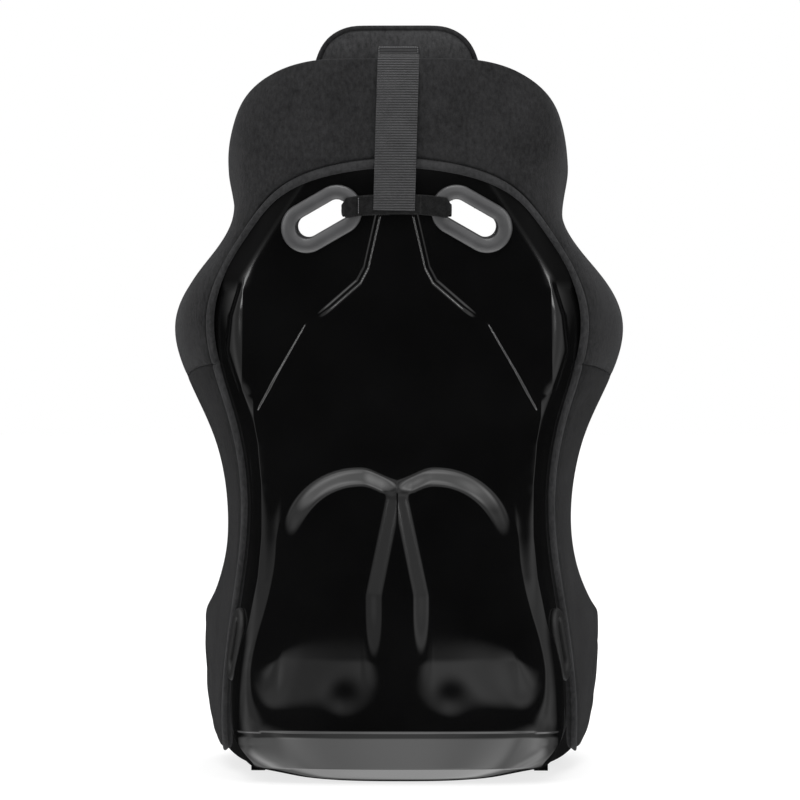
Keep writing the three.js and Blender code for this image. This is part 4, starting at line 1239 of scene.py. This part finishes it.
def retention_band():
    """The hook-and-loop band through both shoulder slots, gathered where it passes through them."""
    _, s = shell_place(0, BAND_Z)
    rear = float(on_shell(np.array([0.0]), np.array([s]), 9)[0, 1] / MM) - FORE_AFT_SHIFT
    line = band_outline(rear)
    x, y = line.T
    across = np.abs(x) / BAND_HALF_LENGTH
    is_rear = smoothstep(-(y - (rear + 8)), -6, 4)
    width = 12 + 12.4 * is_rear * smoothstep(1 - across, 0, 0.09)
    middle = BAND_Z + is_rear * (4.2 + 2.4 * (1 - across ** 2) - 3.2 * across ** 3)
    t = np.linspace(-1, 1, 15)[None, :]
    z = middle[:, None] + width[:, None] / 2 * t
    flat = np.stack([*np.broadcast_arrays(x[:, None], y[:, None], z)], axis=-1)
    along = unit(np.roll(line, -1, axis=0) - np.roll(line, 1, axis=0))
    push = np.column_stack([along[:, 1], -along[:, 0], np.zeros(len(line))])[:, None]
    bulge = 0.5 * np.sqrt(np.clip(1 - np.abs(t) ** 6, 0, 1)) + 0.15 * ripple(flat * MM, 0.004, 5)
    ring = np.concatenate([flat + push * bulge[..., None], (flat - push * 1.4)[:, ::-1]], axis=1)
    ring[..., 1] += FORE_AFT_SHIFT
    faces = grid_faces(*ring.shape[:2], close_rows=True, close_columns=True)
    band = outward(new_object("retention_band_visual", ring.reshape(-1, 3) * MM, faces))
    place(band, SHELL, "hook_and_loop", TAPE, "retention_band")
    band_details(rear + FORE_AFT_SHIFT - 0.55)


def band_details(y):
    """The band's overlapped end, the stitches along that end and the selvedge below it."""
    overlap = tape_patch("band_overlap", (-46.4, 30), (700.2, 723), y, 1.0, tilt=1.0)
    place(overlap, SHELL, "hook_and_loop", TAPE)
    end = upright(np.column_stack([np.full(30, -45.8), np.linspace(701, 722, 30)]), y - 1.1)
    place(rear_stitches("band_edge_stitches", end, 2.0, 0.8, 0.34), SHELL, "hook_and_loop", PALE_THREAD)
    x = np.linspace(-61, -6, 60)
    low = upright(np.column_stack([x, 697.6 + 2.2 * (1 - (x / 62) ** 2)]), y - 0.1)
    place(rear_stitches("band_selvedge", low, 2.0, 0.8, 0.34), SHELL, "hook_and_loop", DARK_THREAD)


# ---- metal ----
def finish_steel():
    for side in ("right", "left"):
        for name in (f"mount_plate_{side}", f"insert_front_{side}", f"insert_rear_{side}"):
            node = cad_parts[name]
            node.data.materials.clear()
            node.data.materials.append(STEEL)


# ---- stage and lights ----
def add_light(data, place_at=(0, 0, 0)):
    light = bpy.data.objects.new(data.name, data)
    bpy.context.scene.collection.objects.link(light)
    light.location = place_at
    return light


def area_light(name, place_at, target, size, power, mirrored=True):
    """A rectangular light that the camera doesn't see, nor the gloss unless it is mirrored."""
    data = bpy.data.lights.new(name, "AREA")
    data.shape = "RECTANGLE"
    data.size, data.size_y = size
    data.energy = power
    light = add_light(data, place_at)
    light.rotation_euler = (Vector(target) - Vector(place_at)).to_track_quat("-Z", "Y").to_euler()
    light.visible_camera = False
    light.visible_glossy = mirrored


def sun_light():
    data = bpy.data.lights.new("sun", "SUN")
    data.energy = 1.7
    data.angle = math.radians(50)
    add_light(data).rotation_euler = (math.radians(22), 0, math.radians(-8))


def add_floor():
    """A white floor that the gloss doesn't mirror."""
    size = 40
    corners = [(-size, -size, 0), (size, -size, 0), (size, size, 0), (-size, size, 0)]
    floor = new_object("floor", corners, [(0, 1, 2, 3)], False)
    m = material_nodes("floor")
    m.set(Base_Color=(0.3, 0.3, 0.3, 1), Roughness=1.0, Emission_Color=(1, 1, 1, 1), Emission_Strength=0.76,
          Specular_IOR_Level=0)
    floor.data.materials.append(m.owner)
    floor.visible_glossy = False


def studio_world():
    """White walls with a dark, uneven gap on the side the seat's back faces, and a bright floor below."""
    world = bpy.data.worlds.new("studio")
    bpy.context.scene.world = world
    w = Nodes(world, "Background", "Generated")
    wall, floor_level, darkest = 0.72, 2.6, 0.012
    x, y, z = w.add("ShaderNodeSeparateXYZ", {0: w.position}).outputs[:3]
    back = w.math("MULTIPLY", y, -1)
    side = w.math("SUBTRACT", w.math("ABSOLUTE", x), w.math("MULTIPLY", back, 0.95))
    high = w.math("SUBTRACT", z, w.math("MULTIPLY", back, -0.06))
    low = w.math("SUBTRACT", w.math("MULTIPLY", z, -1), w.math("MULTIPLY", back, 0.62))
    outside_gap = w.math("MAXIMUM", side, w.math("MAXIMUM", high, low))
    uneven = w.fade(w.noise(2.3, 1.0, 0.5), 0.3, 0.7, 0.6, 1.35)
    gap = w.math("MULTIPLY", w.fade(outside_gap, -0.04, 0.16), uneven)
    forward = w.math("MAXIMUM", w.fade(y, -0.25, 0.1, 1, 0), w.fade(w.math("ABSOLUTE", z), 0.5, 0.7))
    glow = w.math("MULTIPLY", w.math("MULTIPLY", gap, forward), w.fade(z, -0.86, -0.72, floor_level, wall))
    glow = w.math("ADD", glow, darkest)
    camera_ray = w.add("ShaderNodeLightPath").outputs["Is Camera Ray"]
    reflected = w.math("MULTIPLY", glow, w.math("SUBTRACT", 1.0, camera_ray))
    w.set(Color=(1, 1, 1, 1))
    w.link(w.math("ADD", reflected, camera_ray), "Strength")


def build():
    bpy.context.scene.view_settings.view_transform = "Standard"
    build_shell()
    runner(1)
    runner(-1)
    add_slots()
    upper_cover()
    side_cover(1)
    side_cover(-1)
    front_cover()
    add_pads()
    seat_cushion()
    lumbar_cushion()
    head_pillow()
    pillow_back()
    pillow_strap()
    pillow_tab()
    retention_band()
    finish_steel()
    add_floor()
    sun_light()
    for word, x in (("left", -2.0), ("right", 2.0)):
        area_light(f"strip_{word}", (x, -1.7, 1.2), (0, -0.1, 0.5), (0.25, 2.2), 9)
    area_light("softbox_driver_side", (0.5, 3.0, 1.5), (0, 0, 0.4), (1.8, 1.4), 75, False)
    studio_world()


build()
